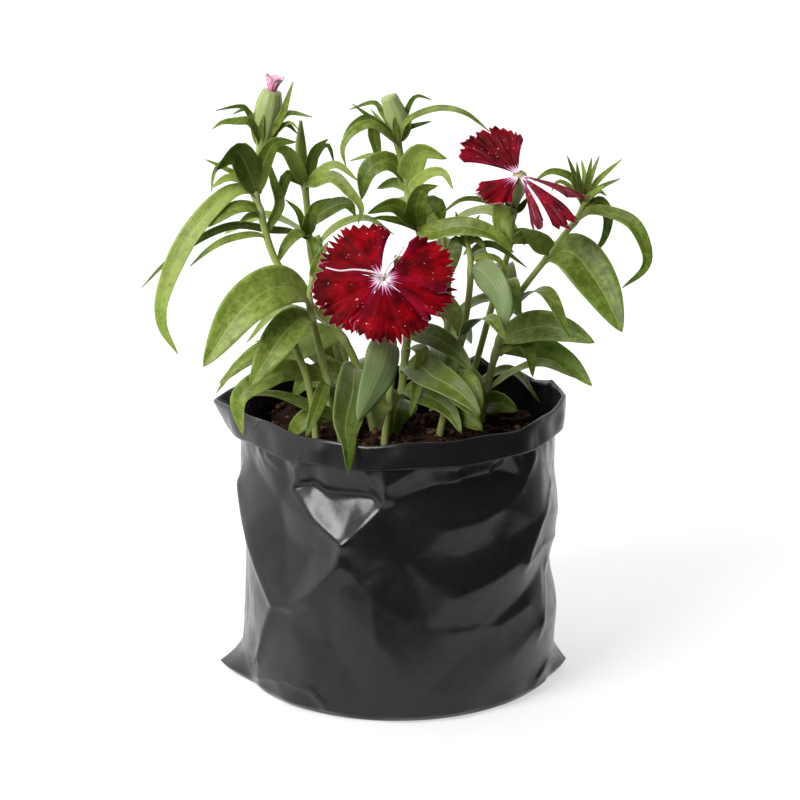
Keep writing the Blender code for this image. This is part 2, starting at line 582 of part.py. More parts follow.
def make_soil(collection, bag):
    film = BVHTree.FromPolygons([vertex.co for vertex in bag.data.vertices],
                                [list(face.vertices) for face in bag.data.polygons])
    step = 360 / SOIL_SEGMENTS
    points = []
    rings = []

    def side_radius(bearing, height):
        low, high = FILM_HEIGHTS
        near = [film_radius(film, bearing + turn * step / 2, min(max(height + lift, low), high))
                for turn in (-1, -0.5, 0, 0.5, 1) for lift in SOIL_NEAR]
        return min(near) - SOIL_GAP

    def add_ring(radius_of, height_of):
        start = len(points)
        for number in range(SOIL_SEGMENTS):
            radius = radius_of(number * step)
            spot = around(number * step, radius, 0)
            points.append(Vector((spot.x, spot.y, height_of(spot.x, spot.y))))
        rings.append(list(range(start, start + SOIL_SEGMENTS)))

    add_ring(lambda bearing: side_radius(bearing, SOIL_FOOT) - SOIL_FOOT_TUCK, lambda x, y: SOIL_FLOOR)
    for height in SOIL_WALL_HEIGHTS:
        add_ring(lambda bearing: side_radius(bearing, height), lambda x, y: height)
    add_ring(lambda bearing: side_radius(bearing, SOIL_HEIGHT), soil_top)
    for share in SOIL_RINGS:
        add_ring(lambda bearing: side_radius(bearing, SOIL_HEIGHT) * share, soil_top)
    faces = []
    for lower, upper in zip(rings, rings[1:]):
        for a in range(SOIL_SEGMENTS):
            b = (a + 1) % SOIL_SEGMENTS
            faces.append([lower[a], lower[b], upper[b]])
            faces.append([lower[a], upper[b], upper[a]])
    faces.append(list(reversed(rings[0])))
    middle = len(points)
    points.append(Vector((0, 0, soil_top(0, 0))))
    for a in range(SOIL_SEGMENTS):
        faces.append([rings[-1][a], rings[-1][(a + 1) % SOIL_SEGMENTS], middle])
    soil = mesh_object("soil", points, faces, collection)
    soil.data.materials.append(new_material("moist peat compost", "soil"))
    return soil


def make_holes(soil, cutters):
    """One plain hole for each stem, along the stem and a little wider."""
    for name in STEMS:
        marks = [mark for mark in stem_route(name) if mark.z < SOIL_HEIGHT + HOLE_TOP]
        foot = marks[0] - Vector((0, 0, HOLE_DEPTH, 0))
        marks = [Vector((*mark.to_3d(), mark.w + HOLE_GAP)) for mark in [foot, *marks]]
        cutter = tube(name + "_hole", marks, cutters)
        cutter.hide_render = True
        cutter.display_type = "WIRE"
    modifier = soil.modifiers.new("holes", "BOOLEAN")
    modifier.operation = "DIFFERENCE"
    modifier.operand_type = "COLLECTION"
    modifier.collection = cutters
    soil.data = evaluated_mesh(soil)
    soil.modifiers.clear()
    for cutter in list(cutters.objects):
        bpy.data.objects.remove(cutter)


# Stems

def stem_route(name):
    """Evenly spaced points of a stem, each with its radius as the fourth number."""
    marks = [Vector(mark) for mark in STEMS[name]]
    length = sum((b.to_3d() - a.to_3d()).length for a, b in zip(marks, marks[1:]))
    return smooth_route(marks, round(length / STEM_SPAN))


def spot_on_stem(name, height):
    """Mark of the stem at a height, with its radius as the fourth number, and the stem's direction."""
    route = stem_route(name)
    for a, b in zip(route, route[1:]):
        if a.z <= height <= b.z:
            return a.lerp(b, (height - a.z) / max(b.z - a.z, 1e-9)), (b - a).to_3d().normalized()
    return route[-1], (route[-1] - route[-2]).to_3d().normalized()


def leaf_root(name, height, toward):
    """Where a leaf's root starts, sunk in the stem on its own side, and the way it sets out."""
    mark, along = spot_on_stem(name, height)
    out = toward - mark.to_3d()
    out = (out - along * out.dot(along)).normalized()
    return mark.to_3d() + out * mark.w * ROOT_OUT, along * LEAF_LEAVES_ALONG + out * LEAF_LEAVES_OUT


def tube(name, marks, collection, sides_level=1):
    """A round bar through the marks, whose fourth number is its radius."""
    curve = bpy.data.curves.new(name, "CURVE")
    curve.dimensions = "3D"
    curve.bevel_depth = MM
    curve.bevel_resolution = sides_level
    curve.use_fill_caps = True
    spline = curve.splines.new("POLY")
    spline.points.add(len(marks) - 1)
    for point, mark in zip(spline.points, marks):
        point.co = (mark.x * MM, mark.y * MM, mark.z * MM, 1.0)
        point.radius = mark.w
    bar = bpy.data.objects.new(name + "_route", curve)
    collection.objects.link(bar)
    bpy.context.view_layer.update()
    solid = bpy.data.objects.new(name, evaluated_mesh(bar))
    solid.matrix_world = bar.matrix_world.copy()
    work = bmesh.new()
    work.from_mesh(solid.data)
    bmesh.ops.remove_doubles(work, verts=work.verts, dist=0.00001)
    bmesh.ops.triangulate(work, faces=work.faces)
    bmesh.ops.recalc_face_normals(work, faces=work.faces)
    work.to_mesh(solid.data)
    work.free()
    solid.data.materials.clear()
    collection.objects.link(solid)
    bpy.data.objects.remove(bar)
    return solid


def make_stem(name, collection):
    stem = tube(name, stem_route(name), collection)
    stem.data.materials.append(new_material(name + " green", "stem"))
    return stem


def drill_mouth(stem, name, collection):
    """A plain hole in the calyx mouth, which the petals' throat stands in."""
    mouth, along = calyx_mouth(name)
    start = mouth - along * MOUTH_DEPTH
    end = mouth + along * MOUTH_ABOVE
    marks = [Vector((*start, MOUTH_RADIUS)), Vector((*end, MOUTH_RADIUS))]
    cut(stem, tube(name + "_mouth", marks, collection))


def calyx_mouth(name):
    route = [mark.to_3d() for mark in stem_route(name)]
    return route[-1], (route[-1] - route[-2]).normalized()


# Leaves

def sheet_solid(rows, thickness):
    """Close a grid of (point, normal) rows into a thin solid, split alike on both faces."""
    across = len(rows[0])
    upper = [point + normal * thickness / 2 for row in rows for point, normal in row]
    lower = [point - normal * thickness / 2 for row in rows for point, normal in row]
    count = len(upper)
    faces = []
    for i in range(len(rows) - 1):
        for j in range(across - 1):
            a = i * across + j
            b, c, d = a + 1, a + across + 1, a + across
            faces += [[a, b, c], [a, c, d], [a + count, c + count, b + count],
                      [a + count, d + count, c + count]]
    rim = list(range(across))
    rim += [i * across + across - 1 for i in range(1, len(rows))]
    rim += [(len(rows) - 1) * across + j for j in range(across - 2, -1, -1)]
    rim += [i * across for i in range(len(rows) - 2, 0, -1)]
    for a, b in zip(rim, rim[1:] + rim[:1]):
        faces += [[a, a + count, b + count], [a, b + count, b]]
    return upper + lower, faces


def leaf_half_width(share, width):
    """Half the blade's width, which is greatest a little below the middle."""
    blade = math.sin(math.pi * share ** LEAF_LOW_MIDDLE) ** LEAF_FULLNESS if 0 < share < 1 else 0.0
    return max(width / 2 * max(blade, LEAF_BASE_SHARE * (1 - share)), LEAF_TIP_HALF)


def leaf_spans(base, route, width):
    length = sum((b - a).length for a, b in zip([base, *route], route))
    return min(max(round(length / LEAF_SPAN), 2 if width < LEAF_NARROW else 3), MOST_SPANS)


def blade_normals(spine, facing):
    """Direction along the blade and upper face's normal at each point, carried from halfway to both ends."""
    last = len(spine) - 1
    alongs = [(spine[min(number + 1, last)] - spine[max(number - 1, 0)]).normalized()
              for number in range(last + 1)]
    normals = [Vector((0.0, -math.sin(math.radians(facing)), math.cos(math.radians(facing))))] * (last + 1)
    middle = last // 2
    for number in [*range(middle, last + 1), *range(middle - 1, -1, -1)]:
        near = normals[number - 1 if number > middle else min(number + 1, middle)]
        normals[number] = (near - alongs[number] * near.dot(alongs[number])).normalized()
    return list(zip(alongs, normals))


def leaf_rows(base, leave, route, width, facing):
    """Rows of a leaf from its root in the stem to its tip."""
    narrow = width < LEAF_NARROW
    spans = leaf_spans(base, route, width)
    spine = smooth_route([base, *route], spans, leave)
    rows = []
    for number, (point, (along, normal)) in enumerate(zip(spine, blade_normals(spine, facing))):
        side = along.cross(normal)
        half = leaf_half_width(number / spans, width)
        if narrow:
            rows.append([(point - side * half, normal), (point + side * half, normal)])
        else:
            lift = normal * half * LEAF_FOLD
            tilt = side * LEAF_FOLD
            rows.append([(point - side * half + lift, (normal + tilt).normalized()), (point, normal),
                         (point + side * half + lift, (normal - tilt).normalized())])
    return rows


def moved_routes(base, route, is_fill):
    """The leaf's route as it stands, then bent clear by small steps, and last a shorter leaf."""
    sight = Vector(SIGHT_LINE)
    for size in LEAF_SHORTER:
        whole = [base + (point - base) * size for point in route]
        for lift in LIFTS:
            for step in (TURNS if is_fill else SIGHT_SHIFTS):
                bent = []
                for number, point in enumerate(whole):
                    share = (number + 1) / len(whole)
                    if is_fill:
                        turn = Matrix.Rotation(math.radians(step), 3, "Z")
                        spot = base + turn @ (point - base)
                    else:
                        spot = point + sight * step * share
                    bent.append(spot + Vector((0, 0, lift * share)))
                yield bent


def blade_tree(rows, thickness):
    points, faces = sheet_solid(rows, thickness)
    return BVHTree.FromPolygons(points, faces)


def solid_tree(thing):
    return BVHTree.FromPolygons([vertex.co / MM for vertex in thing.data.vertices],
                                [list(face.vertices) for face in thing.data.polygons])


def place_leaf(name, leaf, is_fill, obstacles, groups):
    """Add one leaf to its stem's group, bent clear of every other node, or leave it out."""
    height, route, width, facing = leaf
    base, leave = leaf_root(name, height, Vector(route[0]))
    for bent in moved_routes(base, [Vector(point) for point in route], is_fill):
        rows = leaf_rows(base, leave, bent, width, facing)
        tree = blade_tree(rows, LEAF_THICKNESS + 2 * LEAF_GAP)
        blocked = any(tree.overlap(other) for owner, trees in obstacles.items() if owner != name
                      for other in trees)
        if not blocked:
            points, faces = sheet_solid(rows, LEAF_THICKNESS)
            mesh_object(name + "_leaf", points, faces, groups[name])
            obstacles[name].append(blade_tree(rows, LEAF_THICKNESS))
            return


def fill_leaves():
    """Leaves of the hidden sides: opposite pairs, each pair turned a quarter from the last."""
    draw = random.Random(FILL_SEED)
    leaves = []
    for name, (heights, first) in FILL_PAIRS.items():
        for number, height in enumerate(heights):
            for half in (0, 180):
                bearing = first + 90 * number + half + draw.uniform(-FILL_STRAY, FILL_STRAY)
                length = draw.uniform(*FILL_LENGTH)
                width = draw.uniform(*FILL_WIDTH)
                droop = draw.uniform(*FILL_DROOP)
                base = spot_on_stem(name, height)[0].to_3d()
                middle = base + around(bearing, FILL_MIDDLE[0] * length, FILL_MIDDLE[1] * length)
                tip = base + around(bearing, FILL_TIP * length, droop * length)
                leaves.append((name, (height, [middle, tip], width, FILL_FACING)))
    return leaves


def bract_leaves():
    """Narrow pointed bracts that stand round the foot of each calyx."""
    leaves = []
    for name, (height, length, reach) in BRACTS.items():
        mark, along = spot_on_stem(name, height)
        base = mark.to_3d()
        across = along.orthogonal().normalized()
        for number in range(BRACT_COUNT):
            out = Matrix.Rotation(math.tau * (number + BRACT_TURN) / BRACT_COUNT, 3, along) @ across
            middle = base + along * length * BRACT_MIDDLE[0] + out * reach * BRACT_MIDDLE[1]
            tip = base + along * length + out * (reach + BRACT_TIP_OUT)
            leaves.append((name, (height, [middle, tip], BRACT_WIDTH, BRACT_FACING)))
    return leaves


# Petals

def grid_with_normals(grid):
    rows = []
    for i, row in enumerate(grid):
        line = []
        for j, point in enumerate(row):
            along = grid[min(i + 1, len(grid) - 1)][j] - grid[max(i - 1, 0)][j]
            across = row[min(j + 1, len(row) - 1)] - row[max(j - 1, 0)]
            line.append((point, along.cross(across).normalized()))
        rows.append(line)
    return rows


def bloom_frame(name):
    """Mouth of the calyx, and the face's right, up and outward directions."""
    mouth, out = calyx_mouth(BLOOMS[name]["stem"])
    up = (Vector((0, 0, 1)) - out * out.z).normalized()
    return mouth, up.cross(out), up, out


def petal_grid(centre, right, up, out, petal):
    """A fan from the narrow claw to the toothed edge, twisted about its own middle line."""
    angle, length, spread, bend, twist, lean = petal
    angle, twist = math.radians(angle), math.radians(twist)
    ahead = right * math.cos(angle) + up * math.sin(angle)
    sideways = (up * math.cos(angle) - right * math.sin(angle)) * math.cos(twist) + out * math.sin(twist)
    columns = 2 * max(round(spread / PETAL_TOOTH_SPREAD), PETAL_FEWEST_TEETH) + 1
    grid = []
    for i in range(PETAL_ROWS):
        share = i / (PETAL_ROWS - 1)
        row = []
        for j in range(columns):
            across = j / (columns - 1) - 0.5
            edge = (1 - PETAL_SIDE_SHORTER * abs(2 * across) ** 2.5) * (1 + lean * across)
            if i == PETAL_ROWS - 1 and j % 2:
                edge *= 1 - PETAL_TOOTH_DEPTH
            reach = PETAL_CLAW + (length - PETAL_CLAW) * share * edge
            turn = math.radians(spread) * across * (PETAL_CLAW_SPREAD + (1 - PETAL_CLAW_SPREAD) * share)
            height = PETAL_RISE - bend * share ** 2
            height += PETAL_RUFFLE * share ** 2 * math.sin(PETAL_RUFFLE_TURNS * math.pi * across + angle)
            flat = ahead * math.cos(turn) + sideways * math.sin(turn)
            row.append(centre + flat * reach + out * height)
        grid.append(row)
    return grid


def make_petals(name, collection):
    centre, right, up, out = bloom_frame(name)
    mouth, along = calyx_mouth(BLOOMS[name]["stem"])
    throat = [Vector((*(mouth - along * THROAT_DEPTH), THROAT_RADIUS)),
              Vector((*(mouth + along * THROAT_LIFTS[0]), THROAT_RADIUS)),
              Vector((*(mouth + out * THROAT_LIFTS[1]), THROAT_FLARE))]
    bloom = tube(name, throat, collection)
    repeats = new_collection(name + "_repeats")
    for number, petal in enumerate(BLOOMS[name]["petals"]):
        rows = grid_with_normals(petal_grid(centre, right, up, out, petal))
        points, faces = sheet_solid(rows, PETAL_THICKNESS)
        mesh_object(f"{name}_{number}", points, faces, repeats)
    join_all(bloom, repeats)
    bloom.data.materials.append(new_material(name + " crimson", "crimson"))
    return bloom


def make_styles(collection, petals):
    """Two thin white styles that stand in a hole in the throat of the front bloom."""
    centre, right, up, out = bloom_frame("front_bloom_petals")
    hole = [Vector((*(centre + out * lift), STYLE_HOLE_RADIUS)) for lift in STYLE_HOLE_LIFTS]
    cut(petals, tube("style_hole", hole, collection))
    root = [Vector((*(centre + out * lift), STYLE_RADIUS)) for lift in STYLE_ROOT_LIFTS]
    styles = tube("front_bloom_styles", root, collection, 0)
    repeats = new_collection("style_repeats")
    for number, route in enumerate(STYLE_ROUTES):
        marks = [centre + out * STYLE_LIFT]
        marks += [centre + right * x + up * y + out * z for x, y, z in route]
        line = smooth_route([Vector((*mark, STYLE_RADIUS * STYLE_THINNER)) for mark in marks], STYLE_SPANS)
        tube(f"style_{number}", line, repeats, 0)
    join_all(styles, repeats)
    styles.data.materials.append(new_material("white styles", "white"))
    return styles


def make_bud_tip(collection):
    """Furled pink petals that show at the top of the left bud, ragged at the rim."""
    mouth, along = calyx_mouth(BUD_TIP_STEM)
    across = along.orthogonal().normalized()
    marks = [Vector((*(mouth - along * THROAT_DEPTH), THROAT_RADIUS))]
    marks += [Vector((*(mouth + along * lift), radius)) for lift, radius in BUD_CORE]
    bud = tube("left_bud_petals", marks, collection)
    repeats = new_collection("bud_repeats")
    for number in range(BUD_TIP_POINTS):
        turn = Matrix.Rotation(math.tau * number / BUD_TIP_POINTS, 3, along)
        out = turn @ across
        side = along.cross(out)
        ends = (BUD_TIP_FOOT, (BUD_TIP_LENGTH * (1.0 if number % 2 else BUD_TIP_SHORTER), BUD_TIP_RADIUS))
        rows = []
        for (lift, reach), half in zip(ends, BUD_TIP_HALF):
            point = mouth + along * lift + out * reach
            rows.append([(point - side * half, out), (point + side * half, out)])
        points, faces = sheet_solid(rows, PETAL_THICKNESS)
        mesh_object(f"bud_petal_{number}", points, faces, repeats)
    join_all(bud, repeats)
    bud.data.materials.append(new_material("pink bud petals", "pink"))
    return bud


clear_scene()
plant = new_collection("dianthus_plant")
cutter_collection = new_collection("cutters")
bag = make_bag(plant)
soil = make_soil(plant, bag)
make_holes(soil, cutter_collection)

stems = {name: make_stem(name, plant) for name in STEMS}
for bud_or_bloom in ("front_bloom_stem", "side_bloom_stem", BUD_TIP_STEM):
    drill_mouth(stems[bud_or_bloom], bud_or_bloom, plant)
front_petals = make_petals("front_bloom_petals", plant)
side_petals = make_petals("side_bloom_petals", plant)
front_styles = make_styles(plant, front_petals)
bud_tip = make_bud_tip(plant)

obstacles = {name: [solid_tree(stem)] for name, stem in stems.items()}
for thing in (bag, soil, front_petals, side_petals, front_styles, bud_tip):
    obstacles[thing.name] = [solid_tree(thing)]
leaf_groups = {name: new_collection(name + "_leaves") for name in STEMS}
for name, leaf in bract_leaves():
    place_leaf(name, leaf, True, obstacles, leaf_groups)
for name, leaves in LEAVES.items():
    for leaf in leaves:
        place_leaf(name, leaf, False, obstacles, leaf_groups)
for name, leaf in fill_leaves():
    place_leaf(name, leaf, True, obstacles, leaf_groups)
for name, stem in stems.items():
    join_all(stem, leaf_groups[name])
bpy.data.collections.remove(cutter_collection)
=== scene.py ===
"""A bedding dianthus in a black plastic film bag, dressed for the photograph.

Bearings run round the bag from the front (0) over the right side (90) to the back (180). Lengths are in
millimetres until a mesh is made.
"""
import math
import random

import bpy
import numpy as np
from mathutils import Matrix, Vector
from mathutils.bvhtree import BVHTree
from mathutils.geometry import delaunay_2d_cdt


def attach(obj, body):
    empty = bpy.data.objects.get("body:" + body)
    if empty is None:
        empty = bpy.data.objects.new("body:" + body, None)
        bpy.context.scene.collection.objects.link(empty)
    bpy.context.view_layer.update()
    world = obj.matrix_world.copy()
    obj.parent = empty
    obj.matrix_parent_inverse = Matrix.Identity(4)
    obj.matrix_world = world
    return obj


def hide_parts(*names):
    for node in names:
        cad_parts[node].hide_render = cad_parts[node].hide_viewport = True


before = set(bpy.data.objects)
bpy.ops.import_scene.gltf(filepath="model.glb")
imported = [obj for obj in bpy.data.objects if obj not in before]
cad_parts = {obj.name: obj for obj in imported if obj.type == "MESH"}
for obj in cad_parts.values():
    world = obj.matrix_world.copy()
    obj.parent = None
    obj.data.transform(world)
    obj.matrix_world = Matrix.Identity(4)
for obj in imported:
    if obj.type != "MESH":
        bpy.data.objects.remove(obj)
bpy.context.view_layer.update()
MM = 0.001

# The view
# The plant is seen from the front and a little above, from far enough that the bag hardly tapers, so its
# mouth is a flat ellipse and the compost shows between the leaves.
VIEW_TARGET = (2.67, 0.0, 94.5)
VIEW_DISTANCE = 1500.0
VIEW_ELEVATION = math.radians(16.5)
VIEW_LENS = 202.5
camera = bpy.data.objects.new("camera", bpy.data.cameras.new("camera"))
bpy.context.scene.collection.objects.link(camera)
bpy.context.scene.camera = camera
camera.data.lens = VIEW_LENS
camera.data.clip_start = 10 * MM
back_off = Vector((0.0, -math.cos(VIEW_ELEVATION), math.sin(VIEW_ELEVATION))) * VIEW_DISTANCE
camera.location = (Vector(VIEW_TARGET) + back_off) * MM
camera.rotation_euler = (math.pi / 2 - VIEW_ELEVATION, 0.0, 0.0)
bpy.context.scene.view_settings.view_transform = "Standard"


# Bag
# The nursery bag is one tube of black polythene film, flattened and sealed across its foot, which leaves a
# small ear at each side. It is filled with compost, so it stands as a crumpled barrel, and its mouth is
# turned down once into a cuff.
BAG_HALF_WIDTH = 52.5
BAG_FRONT = 55.0
BAG_BACK = 50.0
BAG_SHIFT_RIGHT = 2.0
RIM_HEIGHT = 95.8
RIM_BACK_DIP = 4.0
RIM_BUMPS = ((146, 5.0, 12), (127, 2.6, 11), (104, 2.6, 13))
CUFF_BOTTOM = 87.2
CUFF_PROUD = 1.4
CUFF_LEAST_PROUD = 1.0
CUFF_OUT = 0.35
CUFF_BULGE = 0.15
CUFF_FOOT_CORNER = 0.35
CUFF_CLEAR = 0.35
CUFF_ROWS = 12
HEM_CORNER_DIP = 0.28
HEM_BEHIND_LIFT = 0.6
HEM_LIFT = 0.25
LIP_OUT = 0.55
LIP_DROP = 0.9
WALL_TOP = 88.0
WALL_HIDDEN_TOP = 91.0
WALL_FOOT = 2.6
FOOT_TUCK = 3.0
FOOT_SHARES = (0.0, 0.3, 0.6, 0.85)
FOOT_WAVE_HEIGHT = 8.0
RIM_CORNERS = ((-90, 8.5, 30), (90, 3.0, 24))
FOOT_EARS = ((-90, 7.5, 22), (92, 5.0, 20))
BUMP_POINTED = 1.3
EAR_POINTED = 1.2
INSIDE_ROWS = 30
INSIDE_BOTTOM = 62.0
INSIDE_TOP_DROP = 1.2
INSIDE_PUSH_SHARE = 0.9
INSIDE_FLARE_FROM = 0.72
UNDER_COMPOST = ((4.0, 30.0), (5.0, 1.2))
FLOOR_HEIGHTS = (0.3, 1.2)
FILM_THICKNESS = 0.9
BAG_COLUMNS = 440
WALL_ROWS = 124

# The rounded edges of the hem and the lip, in steps outward and up.
HEM_EDGE = ((-0.35, 0.1), (0.0, -0.15))
LIP_EDGE = ((0.3, -0.2), (-0.1, 0.0), (-0.55, -0.25))

# Waves round the bag: how many there are, how far they go, and where they start in degrees.
RIM_WAVES = ((5, 0.5, 0),)
LIP_WAVES = ((13, 0.35, 10),)
CUFF_WAVES = ((9, 0.3, 20), (23, 0.2, 0))
HEM_WAVES = ((3, 0.45, 50), (11, 0.25, 0))
FOOT_WAVES = ((7, 0.5, 0), (17, 0.35, 40))
GATHER_WAVES = ((19, 0.2, 40.1), (31, 0.16, 114.6), (53, 0.08, 0))
GATHER_FOOT = 74.0
GATHER_HEIGHT = 12.0
RING_POINTS = 40

# Corners of the film's large facets on the front: bearing, height and how far each stands out.
FRONT_CREASES = [
    (-79, 78, -0.6), (-68, 80, -1.4), (-52, 83, -0.4), (-37, 82, -0.4), (-39, 77, -3.0),
    (-31, 78, -4.4), (-25, 75, -4.6), (-13, 76, -4.6), (-6, 76, -3.6), (-2, 73, -1.2), (-2, 82, 1.0),
    (-28, 67, 0.6), (-9, 68, 0.8), (-16, 62, 1.8), (-47, 71, -1.6), (-44, 58, -2.8), (-31, 55, -2.6),
    (-22, 57, -0.6), (-18, 54, 2.2), (-25, 47, 2.6), (-31, 41, 2.6), (-38, 38, 2.2), (-13, 50, 0.4),
    (-21, 43, 0.4), (-28, 36, 0.2), (-40, 31, 0.2), (-75, 68, 1.8), (-64, 58, 2.6), (-55, 48, 2.8),
    (-47, 36, 2.4), (-60, 18, 0.4), (-84, 48, -2.4), (-80, 26, -2.0), (-88, 70, 0.2), (8, 78, -3.8),
    (18, 80, -5.0), (30, 81, -5.2), (42, 82, -4.4), (8, 70, 0.6), (19, 67, 1.6), (31, 68, 1.6),
    (41, 71, 1.2), (53, 77, 0.8), (64, 84, 0.4), (-6, 44, 1.8), (5, 56, -0.8), (23, 55, -1.0),
    (39, 58, -1.0), (22, 43, 1.4), (35, 46, 1.4), (50, 51, 1.8), (62, 62, 1.8), (80, 72, -0.8),
    (67, 45, -1.0), (76, 36, -2.0), (62, 25, 2.0), (84, 24, 1.2), (88, 58, 1.4), (-5, 29, 2.0),
    (5, 14, 1.2), (-22, 27, -1.0), (-32, 17, 1.0), (12, 34, -0.6), (36, 31, -1.0), (22, 20, -0.8),
    (40, 16, 0.8), (50, 37, -0.6),
]
EAR_TOP = 9.5
EAR_TOP_POINTS = 20
EAR_TOP_PUSH = 0.3
BACK_COLUMNS = 9
BACK_ROWS = (20, 38, 56, 74)
BACK_START = 98
BACK_SPAN = 164
BACK_STRAY = 5
BACK_PUSH = (-2.6, 1.6)
BACK_SEED = 7
DEGREE_WIDTH = 0.93

# Folds in the film: the line that each follows as bearing and height, how far it stands out, and how
# soon it falls away.
FILM_FOLDS = [
    ([(-78, 70), (-69, 59), (-63, 53), (-53, 43), (-46, 35), (-55, 22), (-60, 12)], 1.3, 1.8),
    ([(-33, 87), (-37, 82), (-40, 76)], 1.2, 1.0),
    ([(-40, 76), (-29, 69), (-17, 61)], 0.9, 1.3),
    ([(-17, 61), (-18, 58), (-20, 52), (-27, 44), (-33, 39), (-38, 36), (-45, 36)], 1.0, 1.6),
    ([(-40, 76), (-31, 79), (-27, 77), (-8, 77), (-3, 75)], -0.8, 1.2),
    ([(-3, 75), (-10, 68), (-17, 61)], 0.9, 1.3),
    ([(-3, 87), (-2, 83), (-3, 75)], 1.3, 0.9),
    ([(-10, 87), (-6, 80)], 0.9, 0.9),
    ([(-53, 85), (-47, 82)], 0.8, 1.0),
    ([(-58, 86), (-55, 81)], 0.6, 1.0),
    ([(-2, 77), (8, 73), (16, 69), (34, 70), (49, 75), (58, 84)], 0.8, 1.6),
    ([(75, 71), (62, 61), (52, 49)], 0.8, 1.6),
    ([(90, 49), (67, 51), (52, 48)], 0.8, 1.6),
    ([(73, 44), (67, 31), (59, 21)], 0.8, 1.6),
    ([(-17, 54), (-6, 46), (-5, 29), (-5, 12)], 0.5, 2.2),
    ([(-24, 4), (-30, 9), (-42, 10), (-60, 6)], 1.3, 1.3),
    ([(60, 5), (70, 9), (82, 8)], 1.2, 1.3),
    ([(22, 86), (26, 80)], 0.8, 1.1),
    ([(40, 86), (37, 81)], 0.8, 1.1),
    ([(5, 56), (23, 55), (41, 58)], 1.2, 7.0),
    ([(22, 30), (40, 30), (54, 34)], 1.2, 7.0),
]
SHARP_SHARE = 0.85
SHARP_ROUNDS = 2
SOFT_ROUNDS = 14
LOOSE_FOLDS = 50
LOOSE_FOLD_HEIGHTS = (6, 86)
LOOSE_FOLD_HALVES = (3, 11)
LOOSE_FOLD_SIZES = (-0.25, 0.3)
LOOSE_FOLD_REACHES = (1.4, 3.2)
LOOSE_FOLD_SEED = 23


def bump_sum(bearings, corners):
    """Sum of rounded points that stand out at the given bearings."""
    total = np.zeros_like(bearings, dtype=float)
    for at, size, reach in corners:
        apart = np.abs((bearings - at + 180) % 360 - 180)
        total += size * np.maximum(0.0, 1 - apart / reach) ** BUMP_POINTED
    return total


def ripples(bearings, waves):
    """Sum of the waves round the bag at the given bearings."""
    return sum(size * np.sin(np.radians(count * bearings + start)) for count, size, start in waves)


def bag_outline(bearings):
    """Radius of the uncrumpled bag."""
    angle = np.radians(bearings)
    depth = (BAG_FRONT + BAG_BACK) / 2 + (BAG_FRONT - BAG_BACK) / 2 * np.cos(angle)
    radius = 1 / np.hypot(np.sin(angle) / BAG_HALF_WIDTH, np.cos(angle) / depth)
    return radius + BAG_SHIFT_RIGHT * np.sin(angle)


def rim_height(bearings):
    """Height of the bag's rim, which dips at the back and bulges up at its right."""
    back = np.maximum(0.0, -np.cos(np.radians(bearings)))
    bumps = bump_sum(bearings, RIM_BUMPS)
    return RIM_HEIGHT - RIM_BACK_DIP * back ** 1.5 + ripples(bearings, RIM_WAVES) + bumps


def facet_corners():
    """Bearing, height and push of each corner of the film's large facets."""
    draw = random.Random(BACK_SEED)
    ring = [step * 360 / RING_POINTS for step in range(RING_POINTS)]
    corners = [(bearing, height, 0.0) for height in (WALL_FOOT, WALL_TOP) for bearing in ring]
    corners += FRONT_CREASES
    for step in range(EAR_TOP_POINTS):
        corners.append(((step + 0.5) * 360 / EAR_TOP_POINTS, EAR_TOP, EAR_TOP_PUSH))
    for row, height in enumerate(BACK_ROWS):
        for column in range(BACK_COLUMNS):
            bearing = BACK_START + (column + 0.5 * (row % 2)) * BACK_SPAN / BACK_COLUMNS
            corners.append((bearing + draw.uniform(-BACK_STRAY, BACK_STRAY),
                            height + draw.uniform(-BACK_STRAY, BACK_STRAY), draw.uniform(*BACK_PUSH)))
    return corners


def facet_push(bearings, heights):
    """How far the film's large facets stand out, at every height (rows) and bearing (columns)."""
    corners = facet_corners()
    sheet = [Vector(((bearing % 360 + turn) * DEGREE_WIDTH, height))
             for turn in (-360, 0, 360) for bearing, height, _ in corners]
    result = delaunay_2d_cdt(sheet, [], [], 0, 0.0001)
    places, facets, origins = result[0], result[2], result[3]
    u, v = np.meshgrid(bearings * DEGREE_WIDTH, heights)
    field = np.zeros_like(u)
    for facet in facets:
        a, b, c = (places[corner] for corner in facet)
        area = (b.x - a.x) * (c.y - a.y) - (c.x - a.x) * (b.y - a.y)
        outside = max(a.x, b.x, c.x) < 0 or min(a.x, b.x, c.x) > 360 * DEGREE_WIDTH
        if outside or abs(area) < 1e-9:
            continue
        share_b = ((u - a.x) * (c.y - a.y) - (c.x - a.x) * (v - a.y)) / area
        share_c = ((b.x - a.x) * (v - a.y) - (u - a.x) * (b.y - a.y)) / area
        inside = (share_b >= -1e-6) & (share_c >= -1e-6) & (share_b + share_c <= 1 + 1e-6)
        push_a, push_b, push_c = (corners[origins[corner][0] % len(corners)][2] for corner in facet)
        blend = push_a * (1 - share_b - share_c) + push_b * share_b + push_c * share_c
        field[inside] = blend[inside]
    return field


def soften(field, times):
    """Round the field off by averaging neighbours, all the way round and up to its upper and lower rows."""
    for _ in range(times):
        field = (np.roll(field, 1, 1) + 2 * field + np.roll(field, -1, 1)) / 4
        padded = np.vstack((field[:1], field, field[-1:]))
        field = (padded[:-2] + 2 * padded[1:-1] + padded[2:]) / 4
    return field


